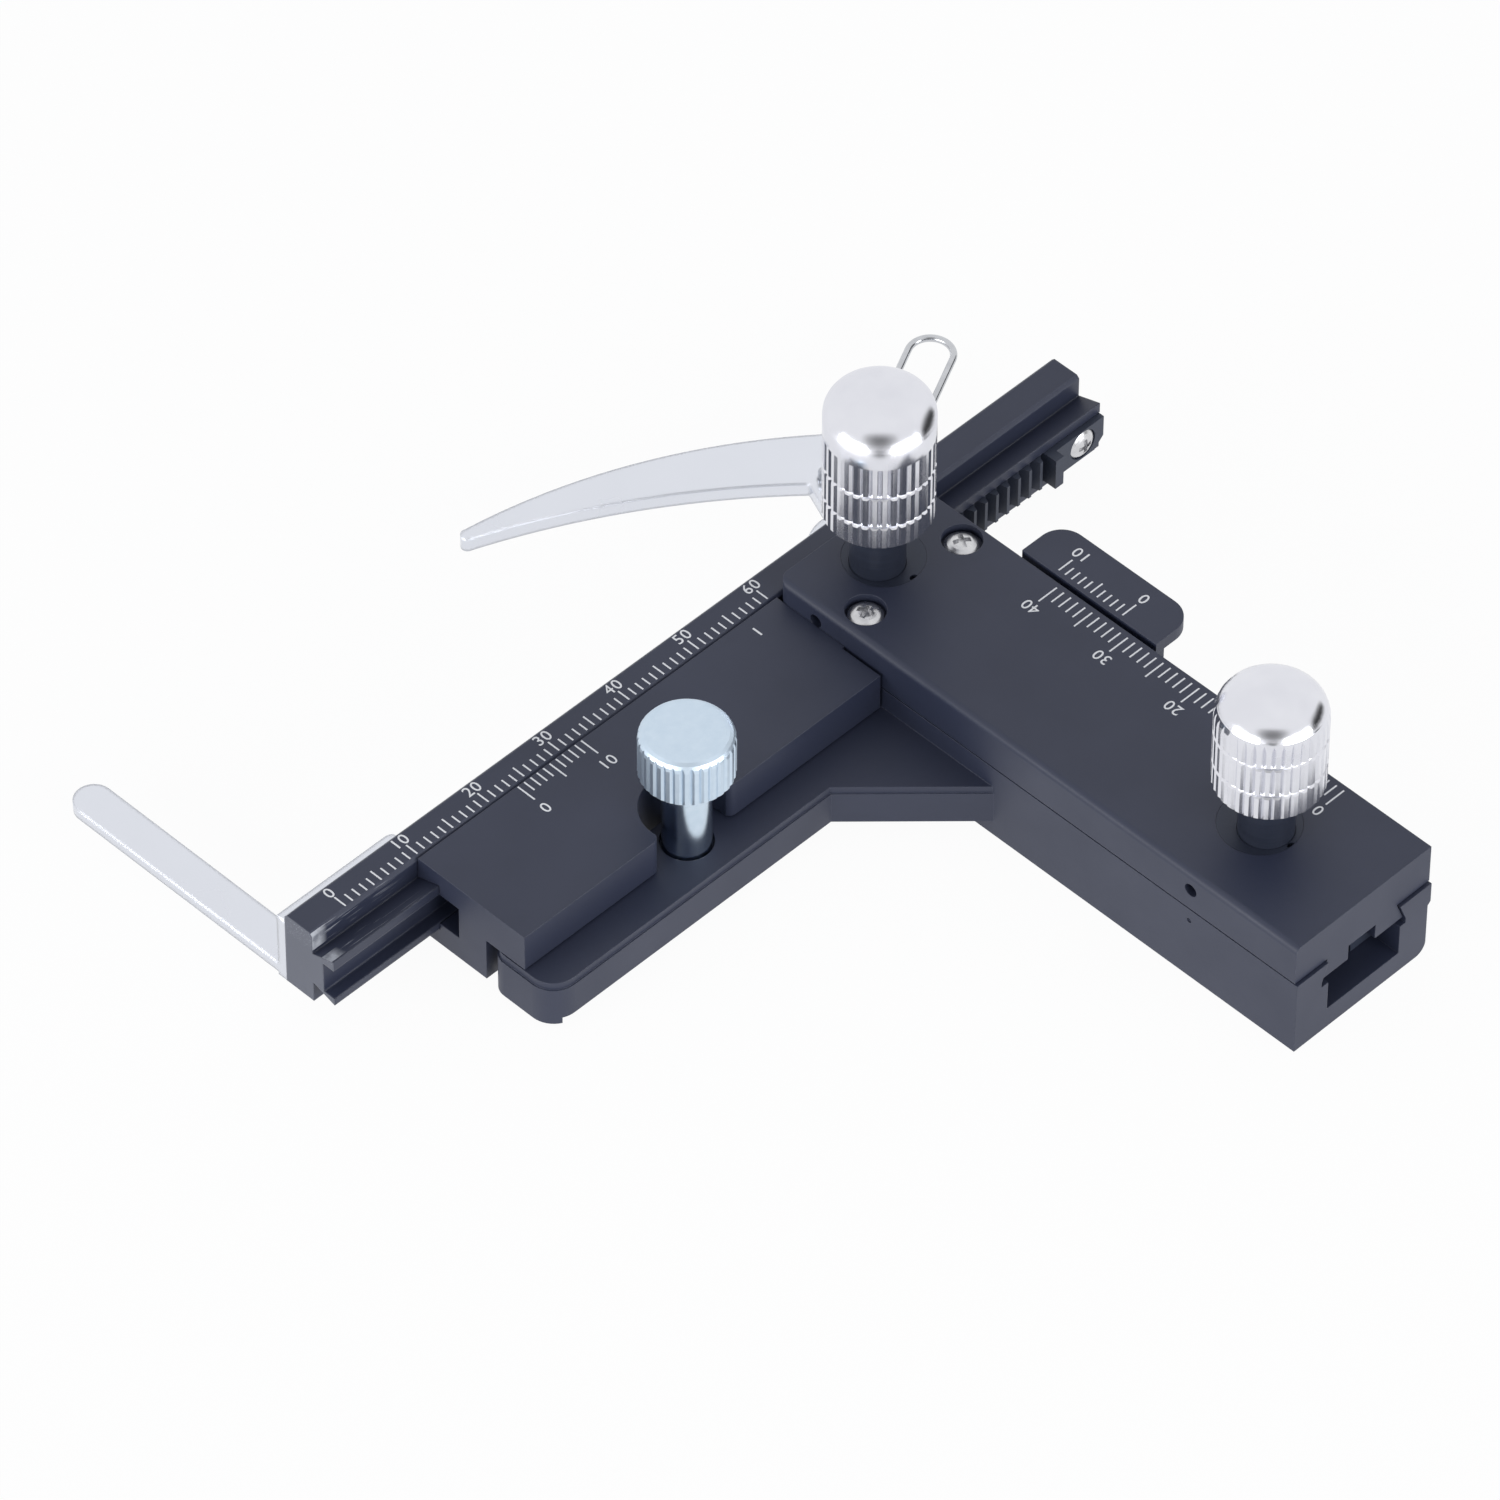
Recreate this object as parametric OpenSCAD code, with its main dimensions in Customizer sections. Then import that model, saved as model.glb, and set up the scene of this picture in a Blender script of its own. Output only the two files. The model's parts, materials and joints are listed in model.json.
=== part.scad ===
// Attachable X-Y mechanical stage for a microscope.
// Origin: axis of the clamping screw, on the underside of the clamping plate.
// +X runs along the bar, +Y points to the specimen slide, +Z is up.

/* [Bar] */
// Length of the bar
bar_len = 110.9; // [80:0.5:160]
// Left end of the bar, left of the clamping screw
bar_left = 38.76; // [20:0.01:70]
// Depth of the bar's square body
bar_depth = 3.95; // [2:0.1:8]
// Height of the bar
bar_h = 9.9; // [6:0.1:16]
// Top of the bar and of the carriage above the plate's underside
bar_top = 10; // [7:0.1:16]
// Near face of the bar's body, behind the clamping screw
bar_face = 14.2; // [10:0.1:25]
// How far the dovetail rail stands out of the bar
rail_out = 3.05; // [1.5:0.05:5]
// Height of the rail where it leaves the bar
rail_root_h = 4.3; // [2:0.1:8]
// Height of the rail at its near face
rail_lip_h = 6.4; // [3:0.1:10]
// Middle of the rail above the plate's underside
rail_mid = 5; // [3:0.1:9]
// Width of the bevels along the bar's top
bar_bevel = 0.35; // [0.1:0.05:1]

/* [Racks and pinions] */
// Distance from tooth to tooth
pitch = 1.65; // [1:0.05:3]
// Teeth on each pinion
pinion_teeth = 9; // [8:1:16]
// Slack between the teeth in mesh
backlash = 0.12; // [0.02:0.01:0.3]
// Height of the bar's rack strip
x_rack_h = 4.05; // [2:0.05:8]
// Room past the teeth at the right end of the bar's rack, for its stop tooth and screw
x_rack_tail = 7.6; // [6:0.1:12]
// Least length of the arm's slot left free past each end of its rack
y_rack_room = 3; // [1:0.1:12]
// Plain end of a rack strip, where its screw goes
rack_end = 6.2; // [4:0.1:12]
// Thickness of the stop tooth
stop_t = 1.2; // [0.6:0.1:3]
// How far the stop tooth stands out past the others
stop_out = 1; // [0.3:0.1:2]

/* [Carriage] */
// Left end of the carriage, left of the clamping screw
carriage_left = 24.1; // [10:0.01:50]
// Depth of the carriage's full-height block
block_depth = 9.7; // [6:0.1:16]
// Depth of the shelf in front of the block
shelf_depth = 5.55; // [3:0.05:10]
// Thickness of that shelf
shelf_t = 4.7; // [3:0.1:8]
// How far the block reaches below the plate's underside
block_drop = 0.4; // [0:0.1:2]
// Radius of the cut-out round the clamping screw
notch_r = 5; // [4:0.1:8]
// Depth of the block's foot in front of it, below the slab
foot_depth = 2.55; // [1:0.05:5]

/* [Arm and slab] */
// Width of the arm and of the slab
arm_w = 19.8; // [14:0.1:30]
// Left side of the arm, right of the clamping screw
arm_left = 27.14; // [20:0.01:45]
// Near end of the slab, in front of the clamping screw
arm_near = 58.55; // [40:0.05:90]
// How far the arm reaches out past the slab's near end
arm_out = 0.35; // [0:0.05:2]
// How far the arm reaches below the plate's underside
arm_drop = 2; // [0:0.1:6]
// Thickness of the slab
slab_t = 5; // [3:0.1:9]
// Top of the slab above the plate's underside
slab_top = 12.9; // [9:0.1:20]
// Width of the slab's dovetail where it leaves the slab
tail_neck = 10.2; // [6:0.1:14]
// Width of the slab's dovetail at its underside
tail_w = 12.2; // [7:0.1:16]
// Height of the slab's dovetail
tail_h = 2.5; // [1.5:0.1:5]
// Width of the groove along the dovetail's underside
tail_groove = 4; // [2:0.1:8]
// Depth of that groove
tail_groove_depth = 2; // [0.5:0.1:4]
// Width of the slot inside the arm
slot_w = 10.6; // [7:0.1:14]
// Floor of that slot above the plate's underside
slot_floor = 0.75; // [0.2:0.05:3]
// Radius of the slab's soft long edge
slab_edge_r = 0.8; // [0.2:0.1:2]

/* [Clamping plate] */
// Thickness of the clamping plate
plate_t = 5; // [3:0.1:10]
// Left end of the plate, left of the clamping screw
plate_left = 24.26; // [10:0.01:50]
// Near edge of the plate, in front of the clamping screw
plate_near = 5.35; // [4:0.05:12]
// Far edge of the plate, behind the clamping screw
plate_far = 3.8; // [2:0.05:3.8]
// Radius of the plate's near corner
plate_r = 3; // [1:0.1:4]
// Radius of the plate's far corner
plate_far_r = 2; // [1:0.1:4]
// Length of the gusset along the plate and along the arm
gusset = 11.75; // [6:0.05:20]
// Height of the narrower rim round the plate's top
rim_t = 1; // [0.5:0.1:2]
// How far that rim stands back
rim_in = 0.2; // [0.05:0.05:0.5]
// Length of the foot under the plate's left end
foot_len = 1.6; // [0.5:0.1:4]
// Height of that foot
foot_h = 0.8; // [0.2:0.1:2]

/* [Vernier tab] */
// Near end of the tab, in front of the clamping screw
tab_near = 19.9; // [15:0.05:35]
// Length of the tab along the arm
tab_len = 18.9; // [12:0.1:30]
// Width of the tab across the arm
tab_w = 5.8; // [4:0.1:10]
// Thickness of the tab
tab_t = 1.5; // [1:0.1:3]
// Top of the tab above the plate's underside
tab_top = 13; // [9:0.1:20]
// Space between the slab and the tab
tab_gap = 0.7; // [0.3:0.1:2]
// Thickness of the wall that carries the tab
tab_wall = 1.3; // [0.8:0.1:3]
// Radius of the tab's outer corners
tab_r = 2.8; // [0.5:0.1:4]

/* [Knobs] */
// Diameter of both knobs
knob_d = 11.7; // [8:0.1:20]
// Underside of the far knob above the plate's underside
x_knob_z = 20.4; // [15:0.1:30]
// Height of the far knob
x_knob_h = 16.7; // [8:0.1:24]
// Underside of the near knob above the plate's underside
y_knob_z = 20.05; // [15:0.1:30]
// Height of the near knob
y_knob_h = 12.8; // [8:0.1:24]
// Radius of the far knob's top edge
x_dome_r = 2.4; // [1:0.1:5.9]
// Radius of the near knob's top edge
y_dome_r = 3; // [1:0.1:5.9]
// Height of the fluted part of the far knob, below its smooth top
x_flute_h = 11.6; // [6:0.1:24]
// Height of the fluted part of the near knob
y_flute_h = 10.8; // [6:0.1:24]
// Flutes round each knob
flutes = 36; // [20:1:60]
// Depth of the flutes
flute_depth = 0.25; // [0.1:0.05:0.8]
// Diameter of both pinion shafts
shaft_d = 5.9; // [4:0.1:8]
// Place of the far shaft behind the clamping screw
x_shaft_y = 8.515; // [6:0.005:12]
// Place of the near shaft in front of the clamping screw
y_shaft_y = 45.05; // [30:0.05:70]
// Diameter of the off-centre bushes
bush_d = 8.8; // [7:0.1:12]
// How far each bush is bored off its centre
bush_off = 0.9; // [0:0.05:1.2]

/* [Clamping screw] */
// Diameter of the clamping screw's head
thumb_d = 10.05; // [7:0.1:16]
// Height of that head
thumb_h = 5.8; // [3:0.1:10]
// Underside of that head above the plate's underside
thumb_z = 15.4; // [10:0.1:24]
// Diameter of the plain shank between head and plate
shank_d = 5.2; // [3:0.1:7]
// Diameter of the thread that goes into the microscope
stud_d = 4; // [3:0.5:6]
// How far the thread stands out below the plate
stud_out = 2; // [1:0.1:6]
// Flutes round the head
thumb_flutes = 32; // [20:1:60]

/* [Slide holder] */
// Thickness of the holder's upright wall
wall_t = 1.2; // [0.8:0.1:2]
// Holder's wall beyond the finger's pin
wall_past = 3.9; // [3.5:0.1:20]
// Height of the wall between its ends
wall_h = 7.1; // [4:0.1:10]
// Height of the wall's raised ends
wall_end_h = 8.8; // [5:0.1:12]
// Length of the wall's raised ends
wall_end_len = 16.9; // [8:0.1:30]
// Thickness of the moving finger
finger_t = 1.8; // [1:0.1:3]
// Thickness of the sheet of the fixed finger
fixed_t = 1.3; // [0.8:0.1:3]
// Height of the fixed finger's underside above the bar's underside
fixed_up = 0.4; // [0:0.1:1]
// Width of the fixed finger
finger_w = 4.3; // [3:0.1:8]
// Reach of the fixed finger from the wall
finger_reach = 31.6; // [20:0.1:45]
// Place of the moving finger's pin, right of the clamping screw
pivot_x = 49.84; // [40:0.01:70]
// Place of that pin behind the bar's far face
pivot_out = 5.6; // [4:0.05:10]
// Radius of the moving finger round its pin
hub_r = 4.1; // [3:0.1:6]
// Diameter of the pin
pin_d = 2.4; // [1.5:0.1:4]
// Distance from the pin to the moving finger's tip
blade_len = 41.7; // [25:0.1:60]
// Direction of that tip, turned from +X
blade_a = 143.3; // [120:0.1:170]
// Radius of the moving finger's outer edge
blade_out_r = 72; // [45:0.5:200]
// Radius of the moving finger's inner edge
blade_in_r = 95; // [45:0.5:200]
// Width of the moving finger's tip
tip_w = 1.5; // [0.8:0.1:4]
// Diameter of the loop's wire
wire_d = 0.8; // [0.5:0.05:1.5]
// Radius of the loop's round end
loop_r = 2.45; // [1.5:0.05:4]
// Distance from the pin to the middle of the loop's round end
loop_reach = 22.4; // [15:0.1:35]
// Direction of the loop, turned from +X
loop_a = 26; // [0:1:60]
// Length of the moving finger's tail, from its pin
tail_len = 11.4; // [8:0.1:16]

/* [Finger spring] */
// Diameter of the spring's wire
spring_wire = 0.6; // [0.3:0.05:0.9]
// Curls of the spring
curls = 3; // [1:1:6]
// Rise of the spring's wire in one curl
curl_rise = 1.05; // [0.8:0.05:2]

/* [Hidden] */
$fn = 48;
// Overrun of a cut, running clearance, and the slack of a seated piece.
over = 0.1;
run = 0.1;
seat = 0.02;
black = "#2a2c31";
bright = "#c8cbd0";

// Teeth: the addendum is one module.
mod = pitch / PI;
pitch_r = mod * pinion_teeth / 2;
dedendum_share = 1.2;
pressure_a = 20;
dedendum = mod * dedendum_share;

// Bar and its rack strip.
bar_back = bar_face + bar_depth;
bar_bottom = bar_top - bar_h;
rail_front = bar_face - rail_out;
groove_back = bar_face - rail_out / 2;
groove_h = x_rack_h + run;
groove_z = rail_mid - groove_h / 2 - run * 2;
x_rack_z = groove_z + run / 2;
x_rack_mid = x_rack_z + x_rack_h / 2;
x_rack_top = x_rack_z + x_rack_h;
arm_right = arm_left + arm_w;
arm_mid = arm_left + arm_w / 2;
x_shaft_x = arm_mid - bush_off + seat;
x_pitch_y = x_shaft_y + pitch_r;
tip_y = x_pitch_y - mod;
bar_right = bar_len - bar_left;
x_strip_right = bar_right - run;
// Teeth to either side of the pinion, as many as the bar's right end has room for.
x_teeth = max(1, floor((x_strip_right - x_rack_tail - x_shaft_x - pitch / 2) / pitch));
stop_x = x_shaft_x + x_teeth * pitch + pitch / 2 + run * 3;
x_strip_left = x_shaft_x - x_teeth * pitch - pitch / 2 - rack_end;
strip_bevel = 1.3;
strip_bevel_a = 45;
strip_bevel_share = 0.7;

// Carriage: a dovetail channel, and behind it room for the stop tooth.
channel_y = bar_face - run;
deep_front = channel_y - block_depth;
shelf_front = deep_front - shelf_depth;
room_y = tip_y - stop_out - mod * 2;
room_z = groove_z - run;
notch_mouth_x = sqrt(notch_r * notch_r - shelf_front * shelf_front);
room_h = groove_h + run * 2;
bore_x_r = pitch_r + mod + bush_off / 2 + run;
spigot_hole_r = 2;
ring_room_h = 1.1;
foot_front = deep_front - foot_depth;
side_gap = 0.4;

// Slab and arm.
slab_z = slab_top - slab_t;
tail_z = slab_z - tail_h;
lip_top = slab_z - run * 2;
arm_bottom = -arm_drop;
arm_end_gap = 1.05;
slot_step = 0.7;
arm_step_drop = 2.6;
arm_far = foot_front - arm_end_gap;
slot_top = tail_z - slot_step;
slot_left = arm_mid + run - slot_w / 2;
slot_right = slot_left + slot_w;
arm_step = 0.4;
arm_step_z = lip_top - arm_step_drop;
arm_edge_r = 1.4;
slab_corner_r = 1.5;
y_shaft_x = arm_mid + run;
y_pitch_x = y_shaft_x + pitch_r;
tip_x = y_pitch_x - mod;
y_rack_z = slot_floor + run;
y_rack_h = slot_top - y_rack_z - run * 3;
y_rack_top = y_rack_z + y_rack_h;
// Teeth to the near and the far side of the pinion, as many as the arm has room for.
y_rack_past = y_rack_room + rack_end + pitch / 2;
y_teeth_near = max(1, floor((arm_near - y_shaft_y - y_rack_past) / pitch));
y_teeth_far = max(1, floor((arm_far + y_shaft_y - y_rack_past) / pitch));
y_rack_near = -y_shaft_y - y_teeth_near * pitch - pitch / 2 - rack_end;
y_rack_far = y_teeth_far * pitch - y_shaft_y + pitch / 2 + rack_end;

// Bushes, shafts and rings.
shaft_r = shaft_d / 2;
bush_x = [x_shaft_x + bush_off, x_shaft_y];
bush_y = [y_shaft_x, bush_off - y_shaft_y];
bush_h = slab_t + run * 2;
bush_notch_r = 0.5;
bore_slack = 0.06;
knob_spigot_r = 2.5;
knob_spigot_h = 7;
neck_r = 1.7;
x_shoulder_z = rail_mid + rail_lip_h / 2 + run * 2;
x_pinion_z = groove_z + run / 2;
x_pinion_h = x_rack_h - run;
spigot_r = 1.5;
ring_t = 0.5;
ring_groove_r = 1.1;
ring_out_r = 2.7;
ring_mouth = 1.8;
x_ring_z = ring_room_h - block_drop - ring_t - run / 2;
y_ring_room_z = tail_z + 1.3;
y_ring_room_r = 4.2;
y_ring_groove_r = 2.3;
y_ring_out_r = 3.8;
y_ring_z = y_ring_room_z - ring_t - run / 2;
y_pinion_top = y_rack_top + run;
shaft_hole_r = shaft_r + bush_off / 2;

// Fasteners.
screw_d = 2;
screw_head_d = 3.8;
screw_head_h = 1.1;
screw_sink = 1.2;
screw_head_slack = 0.3;
carriage_screw_len = 8;
screw_turn_a = 20;
carriage_screw_x = arm_mid + 0.35;
carriage_screw_y = 4.5;
carriage_screw_out = 7.07;
rack_head_d = 3.5;
rack_head_h = 0.8;
rack_sink = 0.35;
rack_bite = 2.4;
holder_bite = 2;
x_rack_bite = 1.9;
lock_z = slab_z + slab_t / 2 + run * 2;
lock_d = 1.6;
lock_len = 3;
lock_hex_d = 0.8;
lock_hex_depth = 1.2;
pip_r = 0.3;
pip_depth = 0.2;
pip_drop = 4.5;
x_rack_screw_x = [x_strip_left + rack_end / 2, x_strip_right - rack_end / 2];
y_rack_screw_y = [y_rack_near + rack_end / 2, y_rack_far - rack_end / 2];
holder_screw_x = [rack_end - bar_left + pitch, 0, pivot_x - rack_end * 2];

// Clamping screw.
sink_r = 2.85;
sink_depth = 0.9;
bore_r = stud_d / 2 + bore_slack;
neck_in_r = stud_d / 2 - bore_slack * 3;
shank_r = shank_d / 2;
shank_edge = 0.2;
tip_bevel = 0.4;
thumb_edge = 1.1;

// Slide holder and moving finger.
wall_x = -bar_left;
wall_len = pivot_x + wall_past - wall_x;
wall_back = bar_back + wall_t;
lug_z = bar_bottom + finger_t + run;
lug_t = 1.2;
lug_r = 3.4;
end_r = 2;
pivot_y = bar_back + pivot_out;
pivot = [pivot_x, pivot_y];
pin_r = pin_d / 2;
rivet_r = 2;
rivet_h = 0.5;
tail_half = 3.2;
toe_w = 3;
leg_bite = 1.5;
wire_z = bar_bottom + finger_t / 2;
tip_turn_a = 70;
heel_turn_a = 80;
// Corners of the moving finger round its pin, as shares of the hub's radius.
out_end_share = [0.7, 2.23];
in_end_share = [-0.76, 1.2];
toe_end_share = [-1.65, 0];
toe_bend_share = [-1.1, 0.35];

// Spring: 8 rings to a curl, 6 sides to the wire.
coil_r = pin_r + spring_wire / 2 + bore_slack * 4;
coil_z = lug_z + lug_t + spring_wire / 2 + seat;
rings_per_curl = 8;
wire_sides = 6;
leg_hole_r = spring_wire / 2 + seat;
leg_out = 4.6;
leg_low = bar_bottom + finger_t / 3;
leg_step = 1.1;
leg_bend = 0.165;
wall_leg = 3;
wall_y = wall_back - pivot_y + spring_wire / 2 + seat;
coil_top = coil_z + curls * curl_rise;
pin_top = coil_top + spring_wire;

// A round bar with its lower end at z.
module rod(r, h, z = 0) {
    translate([0, 0, z]) cylinder(r = r, h = h);
}

// A block from one corner to the other.
module block(a, b) {
    translate(a) cube(b - a);
}

// What a rounding takes off a corner at the origin.
module corner_waste(r) {
    difference() {
        translate([-over, -over]) square(r + over);
        translate([r, r]) circle(r);
    }
}

// A rectangle whose near-left, near-right, far-right and far-left corners have their own radii.
module round_plate(a, b, r) {
    difference() {
        translate(a) square(b - a);
        for (i = [0:3]) if (r[i] > 0)
            translate([i == 0 || i == 3 ? a.x : b.x, i < 2 ? a.y : b.y])
                rotate(i * 90) corner_waste(r[i]);
    }
}

// A cross-section drawn in X and Z, drawn out along +Y from y.
module along_y(y, len) {
    translate([0, y + len, 0]) rotate([90, 0, 0]) linear_extrude(len) children();
}

// A cross-section drawn in Y and Z, drawn out along +X from x.
module along_x(x, len) {
    translate([x, 0, 0]) rotate([90, 0, 90]) linear_extrude(len) children();
}

// Points of an arc from p to q that bulges to the left of its way.
function arc(p, q, r, n) =
    let (mid = (p + q) / 2,
        d = q - p,
        half = norm(d) / 2,
        c = mid + [d.y, -d.x] / norm(d) * sqrt(r * r - half * half),
        a0 = atan2(p.y - c.y, p.x - c.x),
        a1 = atan2(q.y - c.y, q.x - c.x),
        turn = (a1 - a0 + 540) % 360 - 180)
    [for (i = [0:n]) c + r * [cos(a0 + turn * i / n), sin(a0 + turn * i / n)]];

// Straight-sided rack tooth: pitch line on Y = 0, tip towards +Y.
module rack_tooth() {
    half = (pitch - backlash) / 4;
    tip = half - mod * tan(pressure_a);
    root = half + dedendum * tan(pressure_a);
    polygon([[-root, -dedendum - over], [-root, -dedendum], [-tip, mod],
        [tip, mod], [root, -dedendum], [root, -dedendum - over]]);
}

// Pinion with a gap between two teeth towards +X. The shares are of the angle from tooth to tooth.
module pinion_outline() {
    step = 360 / pinion_teeth;
    tip_share = 0.1;
    pitch_share = 0.225;
    root_share = 0.25;
    low_share = 0.4;
    low_r = pitch_r - mod * low_share;
    root_r = pitch_r - dedendum;
    polygon([for (i = [0:pinion_teeth - 1])
        for (p = [[root_r, -root_share], [low_r, -root_share], [pitch_r, -pitch_share],
            [pitch_r + mod, -tip_share], [pitch_r + mod, tip_share], [pitch_r, pitch_share],
            [low_r, root_share], [root_r, root_share]])
        let (a = step * (i + p[1]) + step / 2) p[0] * [cos(a), sin(a)]]);
}

// Round outline with straight flutes.
module fluted_outline(r, count, depth) {
    step = 360 / count;
    land_share = 0.22;
    valley_share = 0.5;
    polygon([for (i = [0:count - 1])
        for (p = [[r, -land_share], [r, land_share], [r - depth, valley_share]])
        let (a = step * (i + p[1])) p[0] * [cos(a), sin(a)]]);
}

// Cross-recess pan head on a plain shank, with the head's seat at the origin.
module pan_screw(head_d, head_h, len) {
    dome_share = 0.8;
    recess_share = 0.5;
    recess_t_share = 0.15;
    recess_floor_share = 0.4;
    dome_r = head_d * dome_share;
    recess = [head_d * recess_share, head_d * recess_t_share] / 2;
    n = 5;
    top = asin(head_d / 2 / dome_r);
    difference() {
        union() {
            rotate_extrude($fn = 32) polygon(concat([[0, 0], [head_d / 2, 0]],
                [for (i = [0:n - 1]) let (a = top * (1 - i / n))
                    [dome_r * sin(a), head_h - dome_r * (1 - cos(a))]], [[0, head_h]]));
            rod(screw_d / 2, len + over, -len);
        }
        for (a = [0, 90]) rotate(a)
            block([-recess.x, -recess.y, head_h * recess_floor_share],
                [recess.x, recess.y, head_h + over]);
    }
}

// Retaining ring that opens towards -Y.
module ring(in_r, out_r) {
    linear_extrude(ring_t) difference() {
        circle(out_r);
        circle(in_r + seat);
        translate([-ring_mouth / 2, -out_r - over]) square([ring_mouth, out_r + over]);
        for (i = [-1, 1]) translate([i * (in_r + out_r) / 2, 0]) circle((out_r - in_r) / 4, $fn = 16);
    }
}

module rail_outline() {
    polygon([[bar_face + over, rail_mid - rail_root_h / 2], [bar_face, rail_mid - rail_root_h / 2],
        [rail_front, rail_mid - rail_lip_h / 2], [rail_front, rail_mid + rail_lip_h / 2],
        [bar_face, rail_mid + rail_root_h / 2], [bar_face + over, rail_mid + rail_root_h / 2]]);
}

module x_bar() {
    color(black) difference() {
        union() {
            along_x(-bar_left, bar_len) polygon([[bar_face, bar_bottom], [bar_back, bar_bottom],
                [bar_back, bar_top - bar_bevel], [bar_back - bar_bevel, bar_top],
                [bar_face + bar_bevel, bar_top], [bar_face, bar_top - bar_bevel]]);
            along_x(-bar_left, bar_len) rail_outline();
        }
        block([-bar_left - over, rail_front - over, groove_z],
            [bar_right + over, groove_back, groove_z + groove_h]);
        for (x = holder_screw_x)
            translate([x, bar_back + over, rail_mid]) rotate([90, 0, 0])
                rod(screw_d / 2, holder_bite + over);
        for (x = x_rack_screw_x)
            translate([x, groove_back - over, x_rack_mid]) rotate([-90, 0, 0])
                rod(screw_d / 2, x_rack_bite + over);
    }
}

module x_rack() {
    root_y = x_pitch_y + dedendum;
    color(black) difference() {
        union() {
            block([x_strip_left, root_y, x_rack_z], [x_strip_right, groove_back, x_rack_top]);
            block([x_strip_left, tip_y + run, x_rack_z],
                [x_strip_left + rack_end, groove_back, x_rack_top]);
            block([stop_x, tip_y + run, x_rack_z], [x_strip_right, groove_back, x_rack_top]);
            block([stop_x, tip_y - stop_out, x_rack_z], [stop_x + stop_t, groove_back, x_rack_top]);
            for (i = [-x_teeth:x_teeth])
                translate([x_shaft_x + pitch * i, x_pitch_y, x_rack_z]) rotate(180)
                    linear_extrude(x_rack_h) rack_tooth();
        }
        for (x = x_rack_screw_x) translate([x, tip_y + rack_sink + run, x_rack_mid]) {
            rotate([90, 0, 0]) rod(rack_head_d / 2 + run, rail_out);
            rotate([-90, 0, 0]) rod(screw_d / 2, rail_out, -over);
        }
        translate([x_strip_right, 0, x_rack_z]) rotate([0, -strip_bevel_a, 0])
            block([-strip_bevel, 0, -strip_bevel],
                [strip_bevel * 2, bar_face, strip_bevel * strip_bevel_share]);
    }
}

module x_rack_screws() {
    color(bright) for (x = x_rack_screw_x)
        translate([x, tip_y + rack_sink + run, x_rack_mid]) rotate([90, 0, 0])
            pan_screw(rack_head_d, rack_head_h, groove_back + x_rack_bite - tip_y - rack_sink - run * 2);
}

// Carriage seen from its end: dovetail channel with running clearance, and the rack's room.
module channel_outline() {
    slack = run;
    far = channel_y + over;
    near = rail_front - slack;
    root = rail_root_h / 2 + slack;
    lip = rail_lip_h / 2 + slack;
    polygon([[far, rail_mid - root], [bar_face, rail_mid - root], [near + slack, rail_mid - lip],
        [near, rail_mid - lip], [near, rail_mid + lip], [near + slack, rail_mid + lip],
        [bar_face, rail_mid + root], [far, rail_mid + root]]);
    translate([room_y, room_z]) square([near - room_y + over, room_h]);
}

// What the bar's way takes off the carriage, the slab and the far bush.
module channel() {
    along_x(-carriage_left - over, carriage_left + arm_right + over * 2) channel_outline();
}

module x_carriage() {
    shelf_right = arm_left - side_gap;
    foot_left = arm_left + side_gap;
    mouth_r = 1;
    color(black) difference() {
        union() {
            block([-carriage_left, deep_front, -block_drop], [arm_right, channel_y, bar_top]);
            block([-carriage_left, shelf_front, bar_top - shelf_t],
                [shelf_right, deep_front + over, bar_top]);
            block([foot_left, foot_front, -block_drop], [arm_right, deep_front + over, slab_z]);
        }
        block([arm_left - seat, shelf_front - over, slab_z],
            [arm_right + over, channel_y + over, bar_top + over]);
        channel();
        rod(notch_r, bar_top + block_drop + over * 2, -block_drop - over);
        for (i = [0, 1]) mirror([i, 0, 0]) translate([notch_mouth_x, shelf_front, 0]) notch_lip(mouth_r);
        translate([x_shaft_x, x_shaft_y, 0]) {
            rod(bore_x_r, bar_top, room_z);
            rod(spigot_hole_r, bar_top, -block_drop - over);
            rod(ring_out_r + bush_off / 2 + run, ring_room_h + over, -block_drop - over);
        }
        for (i = [-1, 1])
            translate([carriage_screw_x + i * carriage_screw_out, carriage_screw_y, slab_top - screw_sink])
                rod(screw_d / 2, carriage_screw_len + over, -carriage_screw_len);
    }
}

// The rounded lips where the cut-out runs out of the shelf's near face.
module notch_lip(r) {
    linear_extrude(bar_top + over) difference() {
        translate([-over * 2, -over]) square([r + over * 2, r + over]);
        translate([r, r]) circle(r);
        translate([r, -over * 2]) square([over, r]);
    }
}

// Slab's outline from its near end, with its dovetail.
module slab_outline() {
    difference() {
        translate([arm_left, slab_z]) square([arm_w, slab_t]);
        translate([arm_left, slab_top]) rotate(-90) corner_waste(slab_edge_r);
    }
}

module tail_outline() {
    polygon([[arm_mid - tail_neck / 2, slab_z + over], [arm_mid - tail_neck / 2, slab_z],
        [arm_mid - tail_w / 2, tail_z], [arm_mid + tail_w / 2, tail_z],
        [arm_mid + tail_neck / 2, slab_z], [arm_mid + tail_neck / 2, slab_z + over]]);
}

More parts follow.
